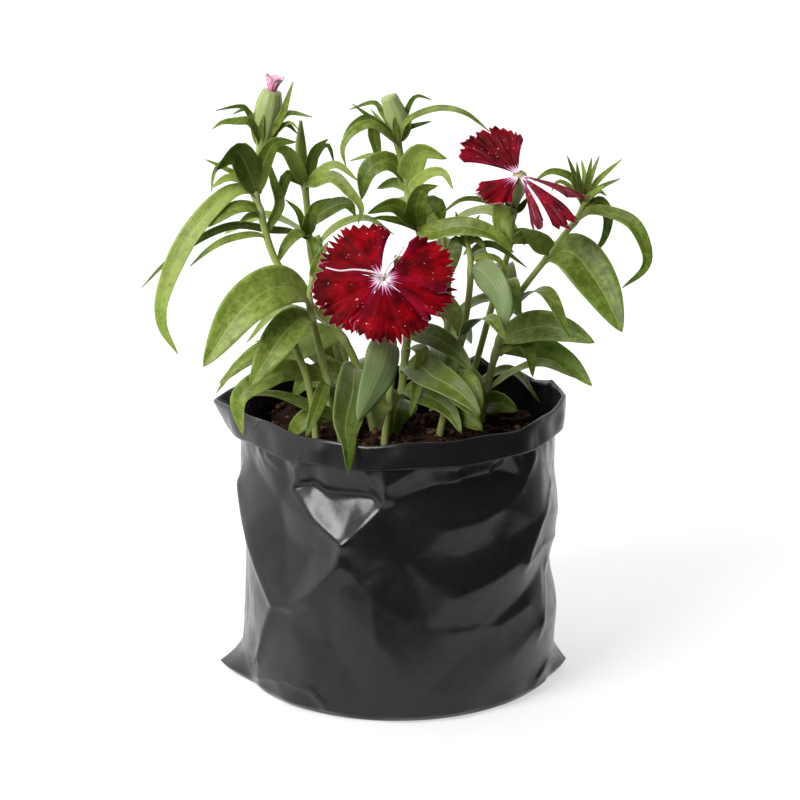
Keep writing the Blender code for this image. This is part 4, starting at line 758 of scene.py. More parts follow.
# Each leaf that the photograph shows: the height of its root on the stem, the points that it passes
# through, its width, and how far its upper face tilts towards the camera in degrees.
LEAVES = {
    "left_bud_stem": [
        (107, [(-13, -28, 105), (-15, -48, 100), (-14, -58, 95), (-14, -61, 88)], 12.0, 90),
        (166, [(-53, -10, 168), (-66, -16, 155), (-74, -20, 138), (-75, -22, 127),
               (-70, -23, 117)], 7.0, 45),
        (167, [(-48, -12, 179), (-51, -15, 183), (-57, -20, 178)], 9.5, 60),
        (167, [(-42, -9, 177), (-38, -11, 185), (-31, -14, 186)], 5.6, 75),
        (161, [(-46, -9, 163), (-52, -12, 163), (-60, -16, 158)], 5.0, 50),
        (159, [(-46, -8, 160), (-50, -10, 158)], 2.5, 50),
        (152, [(-46, -10, 154), (-54, -13, 153), (-60, -15, 150), (-66, -17, 145)], 2.5, 60),
        (153, [(-37, 2, 161), (-39, 3, 169), (-41, 2, 177)], 3.5, 80),
        (169, [(-50, -8, 172), (-54, -10, 173), (-59, -12, 170)], 3.0, 50),
        (171, [(-52, -6, 174), (-57, -8, 177), (-61, -9, 179)], 1.8, 60),
        (172, [(-54, -4, 177), (-58, -6, 174), (-59, -8, 168)], 1.8, 50),
        (184, [(-47, -8, 195), (-50, -10, 197), (-57, -12, 196)], 1.8, 60),
        (185, [(-47, -3, 194), (-52, -4, 193)], 1.8, 60),
        (183, [(-46, -12, 192), (-50, -14, 193), (-55, -16, 193), (-58, -17, 191)], 3.0, 60),
        (184, [(-36, -2, 191), (-33, -2, 193), (-26, -4, 192)], 2.0, 60),
        (183, [(-34, -8, 191), (-30, -10, 189)], 1.6, 60),
        (182, [(-37, 2, 187), (-34, 2, 188), (-31, 2, 185)], 2.4, 60),
        (184, [(-36, -9, 193), (-34, -10, 199), (-32, -9, 205)], 2.6, 70),
        (118, [(-27, -1, 116), (-36, 3, 109), (-41, 4, 99)], 11.0, 70),
        (100, [(-20, 0, 104), (-29, 3, 100), (-33, 4, 94)], 9.0, 70),
    ],
    "low_left_stem": [
        (133, [(-37, -24, 140), (-49, -32, 134), (-61, -38, 117)], 15.0, 62),
        (127, [(-35, -26, 125), (-46, -36, 110)], 11.5, 62),
        (106, [(-33, -22, 111), (-41, -27, 110), (-50, -33, 105), (-49, -36, 93)], 8.0, 55),
        (118, [(-37, -4, 116), (-50, -8, 110), (-58, -14, 101)], 4.0, 50),
        (138, [(-24, -6, 144), (-21, -4, 150)], 4.0, 80),
        (104, [(-24, -26, 101), (-28, -34, 92)], 5.0, 70),
        (93, [(-25, -22, 96), (-31, -28, 94), (-34, -31, 90)], 7.0, 65),
    ],
    "right_bud_stem": [
        (140, [(60, 8, 143), (69, 1, 133), (76, -7, 120)], 15.0, 65),
        (152, [(66, 10, 157), (73, 6, 157), (80, 2, 154), (84, -1, 146), (83, -2, 140),
               (76, -3, 134)], 5.0, 45),
        (153, [(68, 19, 157), (72, 20, 153), (71, 21, 145), (67, 20, 139)], 3.7, 50),
        (141, [(48, 9, 147), (43, 4, 152)], 7.0, 70),
        (158, [(60, 10, 167), (57, 8, 170), (52, 7, 171), (47, 6, 168)], 3.0, 50),
        (158, [(59, 15, 164), (55, 14, 166), (53, 13, 163)], 1.8, 50),
        (159, [(61, 14, 167), (58, 13, 175)], 1.8, 75),
        (160, [(62, 10, 167), (61, 8, 174)], 1.8, 80),
        (160, [(64, 18, 167), (63, 20, 172)], 1.8, 75),
        (161, [(65, 11, 168), (66, 10, 175)], 1.8, 80),
        (160, [(66, 18, 166), (69, 21, 173)], 1.8, 60),
        (159, [(68, 14, 166), (76, 12, 174)], 2.0, 60),
        (159, [(69, 17, 163), (76, 18, 166)], 1.8, 50),
        (158, [(68, 9, 164), (71, 6, 163)], 2.4, 50),
        (159, [(67, 7, 164), (70, 4, 167)], 2.4, 60),
        (159, [(61, 7, 165), (59, 4, 170)], 1.8, 70),
        (156, [(69, 11, 161), (74, 10, 156)], 1.8, 50),
        (112, [(48, 3, 119), (58, -2, 119), (67, -6, 116)], 11.0, 62),
        (108, [(46, 18, 108), (58, 14, 104), (67, 8, 97)], 9.5, 60),
        (107, [(42, 8, 113), (46, 6, 109), (47, 5, 101)], 5.0, 60),
        (89, [(36, 2, 93), (42, -1, 91)], 8.0, 70),
    ],
    "side_bloom_stem": [
        (155, [(37, 5, 160), (36, 0, 155), (39, -3, 146)], 6.5, 60),
        (145, [(46, 4, 150), (53, 0, 147)], 5.0, 65),
        (154, [(35, 6, 160), (24, 2, 163), (16, 1, 158)], 2.2, 50),
        (148, [(51, 20, 145), (56, 24, 141)], 2.2, 50),
    ],
    "spear_stem": [
        (166, [(-31, 3, 173), (-35, 0, 180), (-41, -3, 181)], 5.0, 70),
        (147, [(-33, 5, 151), (-40, 0, 153), (-51, -6, 156), (-62, -10, 153), (-74, -13, 145),
               (-82, -14, 137)], 3.0, 55),
        (166, [(-32, 4, 170), (-35, 2, 170), (-37, 0, 161)], 4.0, 55),
        (150, [(-29, 4, 153), (-31, 2, 159), (-35, 1, 163)], 2.5, 70),
        (166, [(-27, 6, 172), (-25, 5, 179), (-21, 3, 183)], 4.0, 75),
        (168, [(-24, 11, 177), (-21, 11, 179), (-19, 10, 173)], 2.0, 50),
        (165, [(-24, 2, 172), (-18, 0, 175), (-11, -2, 170)], 3.2, 50),
        (165, [(-24, -2, 170), (-19, -5, 172), (-14, -8, 168), (-10, -10, 163), (-11, -11, 158)], 4.5, 55),
        (149, [(-27, 0, 156), (-25, -3, 162), (-20, -5, 165)], 4.5, 75),
        (152, [(-22, 6, 158), (-15, 4, 161), (-12, 3, 157)], 6.0, 50),
        (148, [(-31, 3, 151), (-35, -1, 148), (-38, -3, 142)], 4.0, 60),
        (147, [(-26, 2, 148), (-25, -1, 141)], 3.5, 60),
        (108, [(-30, 8, 112), (-45, 10, 108), (-58, 11, 97)], 7.0, 60),
    ],
    "middle_bud_stem": [
        (103, [(15, -18, 107), (23, -26, 104), (29, -32, 99)], 11.5, 65),
        (163, [(6, 3, 172), (10, -1, 180), (18, -4, 178)], 8.5, 72),
        (152, [(8, -2, 161), (10, -5, 168), (15, -8, 170)], 7.5, 75),
        (169, [(1, 3, 174), (-3, 1, 176), (-8, -1, 173), (-10, -2, 164)], 7.5, 50),
        (151, [(13, 1, 152), (23, -3, 155), (33, -5, 153), (40, -7, 147)], 7.0, 55),
        (180, [(-1, -2, 185), (-7, -6, 190), (-13, -9, 188), (-16, -10, 183), (-15, -10, 177)], 3.4, 50),
        (183, [(-3, 7, 186), (-6, 8, 185), (-5, 7, 179), (-4, 6, 173)], 4.2, 60),
        (182, [(4, 1, 188), (8, -1, 192), (16, -4, 195), (24, -7, 194), (32, -8, 188)], 2.4, 55),
        (182, [(-3, 3, 187), (-8, 0, 191), (-13, -2, 189), (-16, -3, 185)], 2.4, 50),
        (163, [(7, -1, 168), (12, -4, 173), (17, -7, 174), (20, -9, 169)], 4.0, 50),
        (153, [(5, 0, 158), (1, -3, 162), (-3, -5, 162), (-8, -6, 160)], 6.0, 60),
        (153, [(11, 6, 159), (15, 5, 160), (17, 4, 154)], 6.5, 55),
        (165, [(1, 8, 167), (-5, 8, 165)], 4.0, 50),
        (171, [(-1, 12, 174), (-7, 13, 175), (-14, 14, 173)], 2.4, 50),
        (151, [(4, 2, 155), (-3, 0, 157), (-7, -1, 157)], 3.0, 50),
        (183, [(-3, 9, 190), (-6, 9, 194), (-14, 7, 192)], 1.8, 60),
        (181, [(-2, 2, 187), (-7, 0, 191), (-13, -2, 196)], 1.8, 75),
        (182, [(-3, 8, 187), (-7, 8, 192)], 1.6, 75),
        (184, [(5, 6, 192), (8, 5, 197), (13, 4, 196)], 1.8, 60),
        (182, [(5, 5, 186), (13, 3, 189)], 1.8, 60),
        (93, [(2, -4, 93), (1, -10, 91), (0, -13, 83)], 12.5, 80),
        (95, [(12, -8, 98), (19, -14, 95), (23, -20, 89)], 7.5, 60),
        (109, [(10, -2, 112), (9, -5, 104), (6, -8, 91)], 5.0, 85),
        (114, [(12, 0, 117), (20, -6, 114), (27, -10, 107)], 8.0, 60),
    ],
    "low_right_stem": [
        (139, [(32, -14, 140), (36, -20, 133), (36, -22, 124)], 10.0, -80),
        (144, [(33, 8, 146), (45, 12, 137)], 2.5, 50),
        (142, [(34, 2, 143), (40, 2, 136)], 2.2, 50),
        (147, [(28, -1, 150), (31, -3, 147)], 2.5, 60),
        (147, [(21, -1, 150), (18, -3, 147)], 2.5, 60),
        (149, [(22, 2, 155), (21, 1, 159)], 1.8, 75),
        (148, [(27, 3, 154), (29, 4, 157)], 2.0, 75),
        (93, [(23, -14, 94), (30, -20, 90)], 8.0, 60),
        (103, [(22, -13, 104), (26, -20, 100), (28, -24, 95)], 12.0, 70),
    ],
    "front_bloom_stem": [
        (116, [(-4, -28, 112), (-11, -42, 100)], 12.0, -85),
        (96, [(-5, -22, 98), (-4, -31, 93)], 8.0, 85),
    ],
}
# Pairs of leaves on the hidden sides: the heights of the pairs and the bearing of the first.
FILL_PAIRS = {
    "back_left_stem": ((95, 110, 125, 140), 200),
    "back_right_stem": ((98, 113, 128, 143), 160),
    "side_bloom_stem": ((92, 126), 120),
    "spear_stem": ((99, 122), 230),
    "right_bud_stem": ((95, 122), 110),
    "low_left_stem": ((90,), 300),
    "low_right_stem": ((118,), 40),
    "left_bud_stem": ((92,), 250),
    "middle_bud_stem": ((130,), 180),
}
# Bracts: the height of their roots, their length and how far out they reach.
BRACTS = {"left_bud_stem": (182, 12.0, 3.4), "middle_bud_stem": (182, 9.0, 3.0),
          "side_bloom_stem": (156, 9.0, 2.4), "front_bloom_stem": (128, 9.0, 2.4)}
BRACT_COUNT = 4
BRACT_TURN = 0.3
BRACT_WIDTH = 2.4
BRACT_MIDDLE = (0.5, 1.1)
BRACT_TIP_OUT = 1.2
BRACT_FACING = 60
FILL_SEED = 11
FILL_LENGTH = (24.0, 38.0)
FILL_WIDTH = (5.5, 9.0)
FILL_STRAY = 18
FILL_DROOP = (-0.15, 0.35)
FILL_FACING = 12
FILL_MIDDLE = (0.52, 0.30)
FILL_TIP = 0.93
SOLID_LEAF_SPAN = 7.5
SOLID_LEAF_NARROW = 2.6
SOLID_LEAF_MOST_SPANS = 7
FINE_LEAF_SPAN = 1.5
FINE_LEAF_LEAST_SPANS = 8
NARROW_LEAF = 3.0
NARROW_LEAF_COLUMNS = 7
WIDE_LEAF_COLUMNS = 11
LEAF_LEAST_HALF = 0.12
LEAF_FOLD = 0.22
LEAF_FOLD_ROUND = 1.25
LEAF_WAVES = (0.05, 0.11)
LEAF_LEFT_WAVE_LENGTH = 4.2
LEAF_RIGHT_WAVE_LENGTH = 3.7
LEAF_BOW = 0.05
LEAF_BOW_LENGTH = 7.0
LEAF_THICKNESS = 0.34
LEAF_MARGIN_THINNER = 0.16
LEAF_FULL_SHARE = 0.25
LEAF_TIP_SHARE = 0.45
LEAF_SHORTER = (1.0, 0.8, 0.62)
LEAF_BASE_SHARE = 0.42
LEAF_LOW_MIDDLE = 0.75
LEAF_FULLNESS = 0.7
LEAF_LEAVES_ALONG = 1.5
LEAF_LEAVES_OUT = 1.0
ROOT_OUT = 0.45
SIGHT_LINE = (0.0, 1.0, -0.296)
SIGHT_SHIFTS = (0, 4, -4, 8, -8, 12, -12, 16, -16, 21, -21, 26, -26)
LIFTS = (0, 3, -3, 6, -6)
TURNS = (0, 9, -9, 18, -18, 27, -27, 38, -38, 50, -50)
MIDRIB_DEPTH = 0.5
TIP_DEPTH = 0.12
LEAF_TONE_SEED = 5
LEAF_TONES_APART = 0.45
VEINS_ACROSS = 7


def leaf_root(name, height, toward):
    """Where a leaf's root starts, sunk in the stem on its own side, and the way it sets out."""
    mark, along = spot_on_stem(name, height)
    out = toward - mark.to_3d()
    out = (out - along * out.dot(along)).normalized()
    return mark.to_3d() + out * mark.w * ROOT_OUT, along * LEAF_LEAVES_ALONG + out * LEAF_LEAVES_OUT


def moved_routes(base, route, turning):
    """The ways that the leaf may be bent clear of its neighbours, from none to a shorter leaf."""
    sight = Vector(SIGHT_LINE)
    for size in LEAF_SHORTER:
        whole = [base + (point - base) * size for point in route]
        for lift in LIFTS:
            for step in (TURNS if turning else SIGHT_SHIFTS):
                turn = Matrix.Rotation(math.radians(step), 3, "Z")
                bent = []
                for number, point in enumerate(whole):
                    share = (number + 1) / len(whole)
                    spot = base + turn @ (point - base) if turning else point + sight * step * share
                    bent.append(spot + Vector((0, 0, lift * share)))
                yield bent


def route_as_grown(surface, base, leave, route, width, turning):
    """The bend that the solid leaf has, or None where the solid plant lacks the leaf."""
    for bent in moved_routes(base, route, turning):
        length = sum((b - a).length for a, b in zip([base, *bent], bent))
        least = 2 if width < SOLID_LEAF_NARROW else 3
        spans = min(max(round(length / SOLID_LEAF_SPAN), least), SOLID_LEAF_MOST_SPANS)
        spine = smooth_route([base, *bent], spans, leave)
        depths = [surface.find_nearest(point)[3] for point in spine[2:]]
        if depths[-1] < TIP_DEPTH and sum(depths) / len(depths) < MIDRIB_DEPTH:
            return bent
    return None


def fill_leaves():
    """Leaves of the hidden sides: opposite pairs, each pair turned a quarter from the last."""
    draw = random.Random(FILL_SEED)
    leaves = []
    for name, (heights, first) in FILL_PAIRS.items():
        for number, height in enumerate(heights):
            for half in (0, 180):
                bearing = first + 90 * number + half + draw.uniform(-FILL_STRAY, FILL_STRAY)
                length = draw.uniform(*FILL_LENGTH)
                width = draw.uniform(*FILL_WIDTH)
                droop = draw.uniform(*FILL_DROOP)
                base = spot_on_stem(name, height)[0].to_3d()
                out = Vector((math.sin(math.radians(bearing)), -math.cos(math.radians(bearing)), 0.0))
                middle = base + out * FILL_MIDDLE[0] * length + Vector((0, 0, FILL_MIDDLE[1] * length))
                tip = base + out * FILL_TIP * length + Vector((0, 0, droop * length))
                leaves.append((name, (height, [middle, tip], width, FILL_FACING)))
    return leaves


def bract_leaves():
    """Narrow pointed bracts that stand round the foot of each calyx."""
    leaves = []
    for name, (height, length, reach) in BRACTS.items():
        mark, along = spot_on_stem(name, height)
        base = mark.to_3d()
        across = along.orthogonal().normalized()
        for number in range(BRACT_COUNT):
            out = Matrix.Rotation(math.tau * (number + BRACT_TURN) / BRACT_COUNT, 3, along) @ across
            middle = base + along * length * BRACT_MIDDLE[0] + out * reach * BRACT_MIDDLE[1]
            tip = base + along * length + out * (reach + BRACT_TIP_OUT)
            leaves.append((name, (height, [middle, tip], BRACT_WIDTH, BRACT_FACING)))
    return leaves


def blade_part(grid, thickness, marks):
    """Close a grid of points, rows along the blade and columns across it, into a thin blade."""
    rows, columns = grid.shape[:2]
    along = np.gradient(grid, axis=0)
    across = np.gradient(grid, axis=1)
    normal = np.cross(across, along)
    normal /= np.maximum(np.linalg.norm(normal, axis=2, keepdims=True), 1e-9)
    upper = (grid + normal * thickness[..., None] / 2).reshape(-1, 3)
    lower = (grid - normal * thickness[..., None] / 2).reshape(-1, 3)
    count = rows * columns
    faces = []
    for i in range(rows - 1):
        for j in range(columns - 1):
            a = i * columns + j
            b, c, d = a + 1, a + columns + 1, a + columns
            faces.append((a, b, c, d))
            faces.append((a + count, d + count, c + count, b + count))
    rim = list(range(columns))
    rim += [i * columns + columns - 1 for i in range(1, rows)]
    rim += [(rows - 1) * columns + j for j in range(columns - 2, -1, -1)]
    rim += [i * columns for i in range(rows - 2, 0, -1)]
    for a, b in zip(rim, rim[1:] + rim[:1]):
        faces.append((a, a + count, b + count, b))
    values = {name: np.tile(np.broadcast_to(value, (rows, columns)).ravel(), 2)
              for name, value in marks.items()}
    values["under"] = np.concatenate((np.zeros(count), np.ones(count)))
    return {"points": np.vstack((upper, lower)), "faces": faces, "marks": values}


def blade_normals(spine, facing):
    """Direction along the blade and its upper face's normal at each point, carried from halfway."""
    last = len(spine) - 1
    alongs = [(spine[min(number + 1, last)] - spine[max(number - 1, 0)]).normalized()
              for number in range(last + 1)]
    normals = [Vector((0.0, -math.sin(math.radians(facing)), math.cos(math.radians(facing))))] * (last + 1)
    middle = last // 2
    for number in [*range(middle, last + 1), *range(middle - 1, -1, -1)]:
        near = normals[number - 1 if number > middle else min(number + 1, middle)]
        normals[number] = (near - alongs[number] * near.dot(alongs[number])).normalized()
    return list(zip(alongs, normals))


def leaf_part(base, leave, route, width, facing, draw):
    """One fine leaf: a pointed blade, folded to a V along its midrib and a little wavy at its margins."""
    length = sum((b - a).length for a, b in zip([base, *route], route))
    rows = max(round(length / FINE_LEAF_SPAN), FINE_LEAF_LEAST_SPANS)
    spine = smooth_route([base, *route], rows, leave)
    sides = np.linspace(-1, 1, WIDE_LEAF_COLUMNS if width > NARROW_LEAF else NARROW_LEAF_COLUMNS)
    left_start, right_start, bow_start = (draw.uniform(0, math.tau) for _ in range(3))
    wave = draw.uniform(*LEAF_WAVES)
    grid = np.zeros((rows + 1, len(sides), 3))
    for number, (point, (along, normal)) in enumerate(zip(spine, blade_normals(spine, facing))):
        share = number / rows
        walked = length * share
        blade = math.sin(math.pi * share ** LEAF_LOW_MIDDLE) ** LEAF_FULLNESS if 0 < share < 1 else 0.0
        half = max(width / 2 * max(blade, LEAF_BASE_SHARE * (1 - share)), LEAF_LEAST_HALF)
        fold = LEAF_FOLD * np.abs(sides) ** LEAF_FOLD_ROUND
        margins = np.where(sides < 0, math.sin(walked / LEAF_LEFT_WAVE_LENGTH + left_start),
                           math.sin(walked / LEAF_RIGHT_WAVE_LENGTH + right_start))
        ripple = wave * np.abs(sides) ** 2.5 * margins
        bow = LEAF_BOW * math.sin(walked / LEAF_BOW_LENGTH + bow_start) * sides
        lift = half * (fold + (ripple + bow) * min(1.0, 4 * share))
        side = along.cross(normal)
        grid[number] = np.array(point) + np.outer(sides * half, side) + np.outer(lift, normal)
    along_share = np.linspace(0, 1, rows + 1)[:, None]
    thickness = (LEAF_THICKNESS - LEAF_MARGIN_THINNER * sides ** 2)[None, :]
    thickness = thickness * np.clip(1 + LEAF_FULL_SHARE - along_share, LEAF_TIP_SHARE, 1)
    tone = np.full((1, 1), LEAF_TONES_APART * draw.random())
    return blade_part(grid, thickness, {"across": (sides + 1) / 2, "along": along_share, "tone": tone})


# Leaf blade: a living leaf with a waxy skin, so it has a broad satin light. The midrib and the margins
# are paler, faint veins run its whole length, and young leaves are yellower than old ones.
blade_skin, tree, shader, place = start_finish("waxy_leaf_skin", 0.42, 1.43)
shader.inputs["Specular IOR Level"].default_value = 0.32
shader.inputs["Subsurface Weight"].default_value = 0.15
shader.inputs["Subsurface Radius"].default_value = (0.5, 1.0, 0.2)
shader.inputs["Subsurface Scale"].default_value = 0.8 * MM
across, along, tone, under = (add_node(tree, "Attribute", {"attribute_name": mark}, {}).outputs["Fac"]
                              for mark in ("across", "along", "tone", "under"))
centred = add_node(tree, "Math", {"operation": "SUBTRACT", 1: 0.5}, {0: across})
from_rib = add_node(tree, "Math", {"operation": "ABSOLUTE"}, {0: centred.outputs[0]})
cloud = add_node(tree, "TexNoise", {"Scale": 1 / (3 * MM), "Detail": 8.0, "Roughness": 0.75},
                 {"Vector": place})
mixed_tone = add_node(tree, "Math", {"operation": "MULTIPLY_ADD", 1: 1.1},
                      {0: cloud.outputs["Fac"], 2: tone})
upper = add_node(tree, "ValToRGB", {"stops": [(0.35, "#344509"), (0.7, "#57681d"), (1.0, "#8c9c46")]},
                 {"Fac": mixed_tone.outputs[0]})
root_fade = add_node(tree, "MapRange", {"From Min": 0.0, "From Max": 0.3, "To Min": 0.4, "To Max": 0.0},
                     {"Value": along})
rooted = add_node(tree, "Mix", {"data_type": "RGBA", 7: linear("#96a552")},
                  {0: root_fade.outputs["Result"], 6: upper.outputs["Color"]})
rib_mask = add_node(tree, "MapRange", {"From Min": 0.008, "From Max": 0.03, "To Min": 0.4, "To Max": 0.0},
                    {"Value": from_rib.outputs[0]})
ribbed = add_node(tree, "Mix", {"data_type": "RGBA", 7: linear("#a4b46a")},
                  {0: rib_mask.outputs["Result"], 6: rooted.outputs[2]})
edge_mask = add_node(tree, "MapRange", {"From Min": 0.44, "From Max": 0.5, "To Min": 0.0, "To Max": 0.5},
                     {"Value": from_rib.outputs[0]})
edged = add_node(tree, "Mix", {"data_type": "RGBA", 7: linear("#a0ae66")},
                 {0: edge_mask.outputs["Result"], 6: ribbed.outputs[2]})
below = add_node(tree, "Mix", {"data_type": "RGBA", 6: linear("#6f8150"), 7: linear("#94a474")},
                 {0: rib_mask.outputs["Result"]})
face = add_node(tree, "Mix", {"data_type": "RGBA"},
                {0: under, 6: edged.outputs[2], 7: below.outputs[2]})
tree.links.new(face.outputs[2], shader.inputs["Base Color"])
vein_phase = add_node(tree, "Math", {"operation": "MULTIPLY", 1: math.tau * VEINS_ACROSS}, {0: across})
vein_wave = add_node(tree, "Math", {"operation": "COSINE"}, {0: vein_phase.outputs[0]})
relief = add_node(tree, "Math", {"operation": "MULTIPLY_ADD", 1: 0.25},
                  {0: vein_wave.outputs[0], 2: cloud.outputs["Fac"]})
leaf_bump = add_node(tree, "Bump", {"Strength": 0.22, "Distance": 0.3 * MM}, {"Height": relief.outputs[0]})
tree.links.new(leaf_bump.outputs["Normal"], shader.inputs["Normal"])

tone_draw = random.Random(LEAF_TONE_SEED)
grown = {name: [] for name in STEMS}
surfaces = {name: node_surface(name) for name in STEMS}
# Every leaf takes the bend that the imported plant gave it. A hidden leaf or a bract may have turned round
# its root, and a leaf that the photograph shows moved along the line of sight.
every_leaf = [(name, leaf, True) for name, leaf in bract_leaves()]
every_leaf += [(name, leaf, False) for name, leaves in LEAVES.items() for leaf in leaves]
every_leaf += [(name, leaf, True) for name, leaf in fill_leaves()]
joint_heights = {name: [] for name in STEMS}
for name, (height, route, width, facing), turning in every_leaf:
    route = [Vector(point) for point in route]
    base, leave = leaf_root(name, height, route[0])
    bent = route_as_grown(surfaces[name], base, leave, route, width, turning)
    if bent is None:
        continue
    grown[name].append(leaf_part(base, leave, bent, width, facing, tone_draw))
    if width > JOINT_LEAF_WIDTH:
        joint_heights[name].append(height)

for name in STEMS:
    stalk = stalk_part(name, joint_heights[name])
    piece_from(name + "_stalk", [stalk], stem_skin, [name])
    if grown[name]:
        piece_from(name + "_leaves", grown[name], blade_skin, [name])


# Blooms
# Each bloom has five flat petals on narrow claws, which leave the calyx tube together. Their outer edge
# is cut into ragged teeth. The front bloom faces the eye and the side bloom is half turned away.

# A petal is its direction in degrees, its length, its spread in degrees, how far it bends back, its twist
# in degrees and how far it leans to one side.
BLOOMS = {
    "front_bloom_petals": {
        "stem": "front_bloom_stem",
        "petals": [(127, 24.5, 92, 3.0, -6, 0.1), (22, 25.5, 76, 2.0, -8, 0.0),
                   (-16, 25.2, 62, 3.0, -9, 0.0), (-78, 23.8, 98, 2.5, -8, 0.0),
                   (-156, 24.2, 90, 3.0, -9, -0.1)],
    },
    "side_bloom_petals": {
        "stem": "side_bloom_stem",
        "petals": [(122, 21.5, 80, -1.0, -8, 0.5), (216, 15.5, 78, 2.0, 20, -0.2),
                   (-71, 20.0, 24, 4.0, 60, 0.0), (-45, 25.0, 23, 5.0, 25, 0.0),
                   (-18, 23.5, 26, 3.0, -40, 0.0)],
    },
}
PETAL_CLAW = 1.0
PETAL_RISE = 0.9
PETAL_RUFFLE = 0.7
PETAL_RUFFLES = 5
PETAL_WAVE = 0.28
PETAL_WAVE_TURN = 17
PETAL_RIPPLE = 0.1
PETAL_RIPPLE_TURN = 34
PETAL_SIDE_SHORTER = 0.2
PETAL_CLAW_SPREAD = 0.7
PETAL_THICKNESS = 0.34
PETAL_EDGE_THINNER = 0.16
PETAL_FINE_ROWS = 26
PETAL_FINE_COLUMNS = 91
PETAL_SEED = 17
TOOTH_SPREAD = 6.0
FEWEST_TEETH = 3
TOOTH_WIDTHS = (0.55, 1.6)
TOOTH_TIP_PLACES = (0.35, 0.65)
TOOTH_TIP_CUTS = (0.0, 0.045)
TOOTH_CORNER_CUT = 0.1
NOTCH_CUTS = (0.06, 0.13)
NOTCH_DEEP_CUT = 0.19
NOTCH_SHALLOW_SHARE = 0.7
EYE_RADIUS = 2.4
EYE_RAYS = 5
EYE_RAY_REACHES = (4.2, 7.0)
EYE_RAY_STRAY = 0.2
EYE_RAY_HALF = 0.42
THROAT_RADIUS = 1.4
THROAT_LIFTS = (-4.0, 0.2, 0.7)
THROAT_SIDES = 16

# How far each petal's crimson has faded to pink in streaks.
PETALS_FADED = {"front_bloom_petals": (0.0, 0.0, 0.0, 0.0, 0.0),
                "side_bloom_petals": (0.1, 0.0, 0.7, 0.3, 0.6)}


def calyx_mouth(name):
    """Mouth of a stem's calyx, and the way that it points."""
    route = [mark.to_3d() for mark in stem_route(name, SOLID_STEM_SPAN)]
    return route[-1], (route[-1] - route[-2]).normalized()


def bloom_frame(name):
    """Mouth of the calyx, and the face's right, up and outward directions."""
    mouth, out = calyx_mouth(BLOOMS[name]["stem"])
    up = (Vector((0, 0, 1)) - out * out.z).normalized()
    return mouth, up.cross(out), up, out


def petal_part(centre, right, up, out, petal, faded, draw):
    """One petal: a fan from its claw to a ragged edge, ruffled and a little bent back."""
    angle, length, spread, bend, twist, lean = petal
    angle, twist = math.radians(angle), math.radians(twist)
    ahead = right * math.cos(angle) + up * math.sin(angle)
    sideways = (up * math.cos(angle) - right * math.sin(angle)) * math.cos(twist) + out * math.sin(twist)
    across = np.linspace(0.5, -0.5, PETAL_FINE_COLUMNS)
    marks = [0.0]
    cuts = [TOOTH_CORNER_CUT]
    for _ in range(max(round(spread / TOOTH_SPREAD), FEWEST_TEETH)):
        width = draw.uniform(*TOOTH_WIDTHS)
        marks += [marks[-1] + width * draw.uniform(*TOOTH_TIP_PLACES), marks[-1] + width]
        cuts.append(draw.uniform(*TOOTH_TIP_CUTS))
        shallow = draw.random() < NOTCH_SHALLOW_SHARE
        cuts.append(draw.uniform(*NOTCH_CUTS) if shallow else NOTCH_DEEP_CUT)
    notch = np.interp(across + 0.5, np.array(marks) / marks[-1], cuts)
    share = np.linspace(0, 1, PETAL_FINE_ROWS)[:, None] ** 0.8
    outline = (1 - PETAL_SIDE_SHORTER * np.abs(2 * across) ** 2.5) * (1 + lean * across)
    edge = outline[None, :] * (1 - notch[None, :] * share ** 4)
    reach = PETAL_CLAW + (length - PETAL_CLAW) * share * edge
    turn = math.radians(spread) * across[None, :] * (PETAL_CLAW_SPREAD + (1 - PETAL_CLAW_SPREAD) * share)
    wave_start = draw.uniform(0, math.tau)
    height = PETAL_RISE - bend * share ** 2
    height = height + PETAL_RUFFLE * share ** 2 * np.sin(PETAL_RUFFLES * np.pi * across + angle)
    height = height + PETAL_WAVE * share ** 3 * np.sin(PETAL_WAVE_TURN * across + wave_start)
    height = height + PETAL_RIPPLE * share * np.cos(PETAL_RIPPLE_TURN * across + wave_start)
    flat = (reach * np.cos(turn))[..., None] * np.array(ahead)
    flat = flat + (reach * np.sin(turn))[..., None] * np.array(sideways)
    grid = np.array(centre) + flat + height[..., None] * np.array(out)
    thickness = np.broadcast_to(PETAL_THICKNESS - PETAL_EDGE_THINNER * share, grid.shape[:2])
    rays = [draw.uniform(*EYE_RAY_REACHES) for _ in range(EYE_RAYS + 2)]
    eye_reach = np.full_like(across, EYE_RADIUS)
    for number, ray in enumerate(rays):
        ray_place = (number - 0.5 + draw.uniform(-EYE_RAY_STRAY, EYE_RAY_STRAY)) / EYE_RAYS
        slim = np.clip(1 - np.abs(across + 0.5 - ray_place) / (EYE_RAY_HALF / EYE_RAYS), 0, 1)
        eye_reach = np.maximum(eye_reach, EYE_RADIUS + (ray - EYE_RADIUS) * slim)
    side_gap = (0.5 - np.abs(across)) * math.radians(spread) * reach
    return blade_part(grid, thickness, {
        "across": across + 0.5, "along": share, "past_eye": reach - eye_reach, "reach": reach,
        "margin": (1 - share) * length, "flank": side_gap, "faded": np.full((1, 1), faded)})


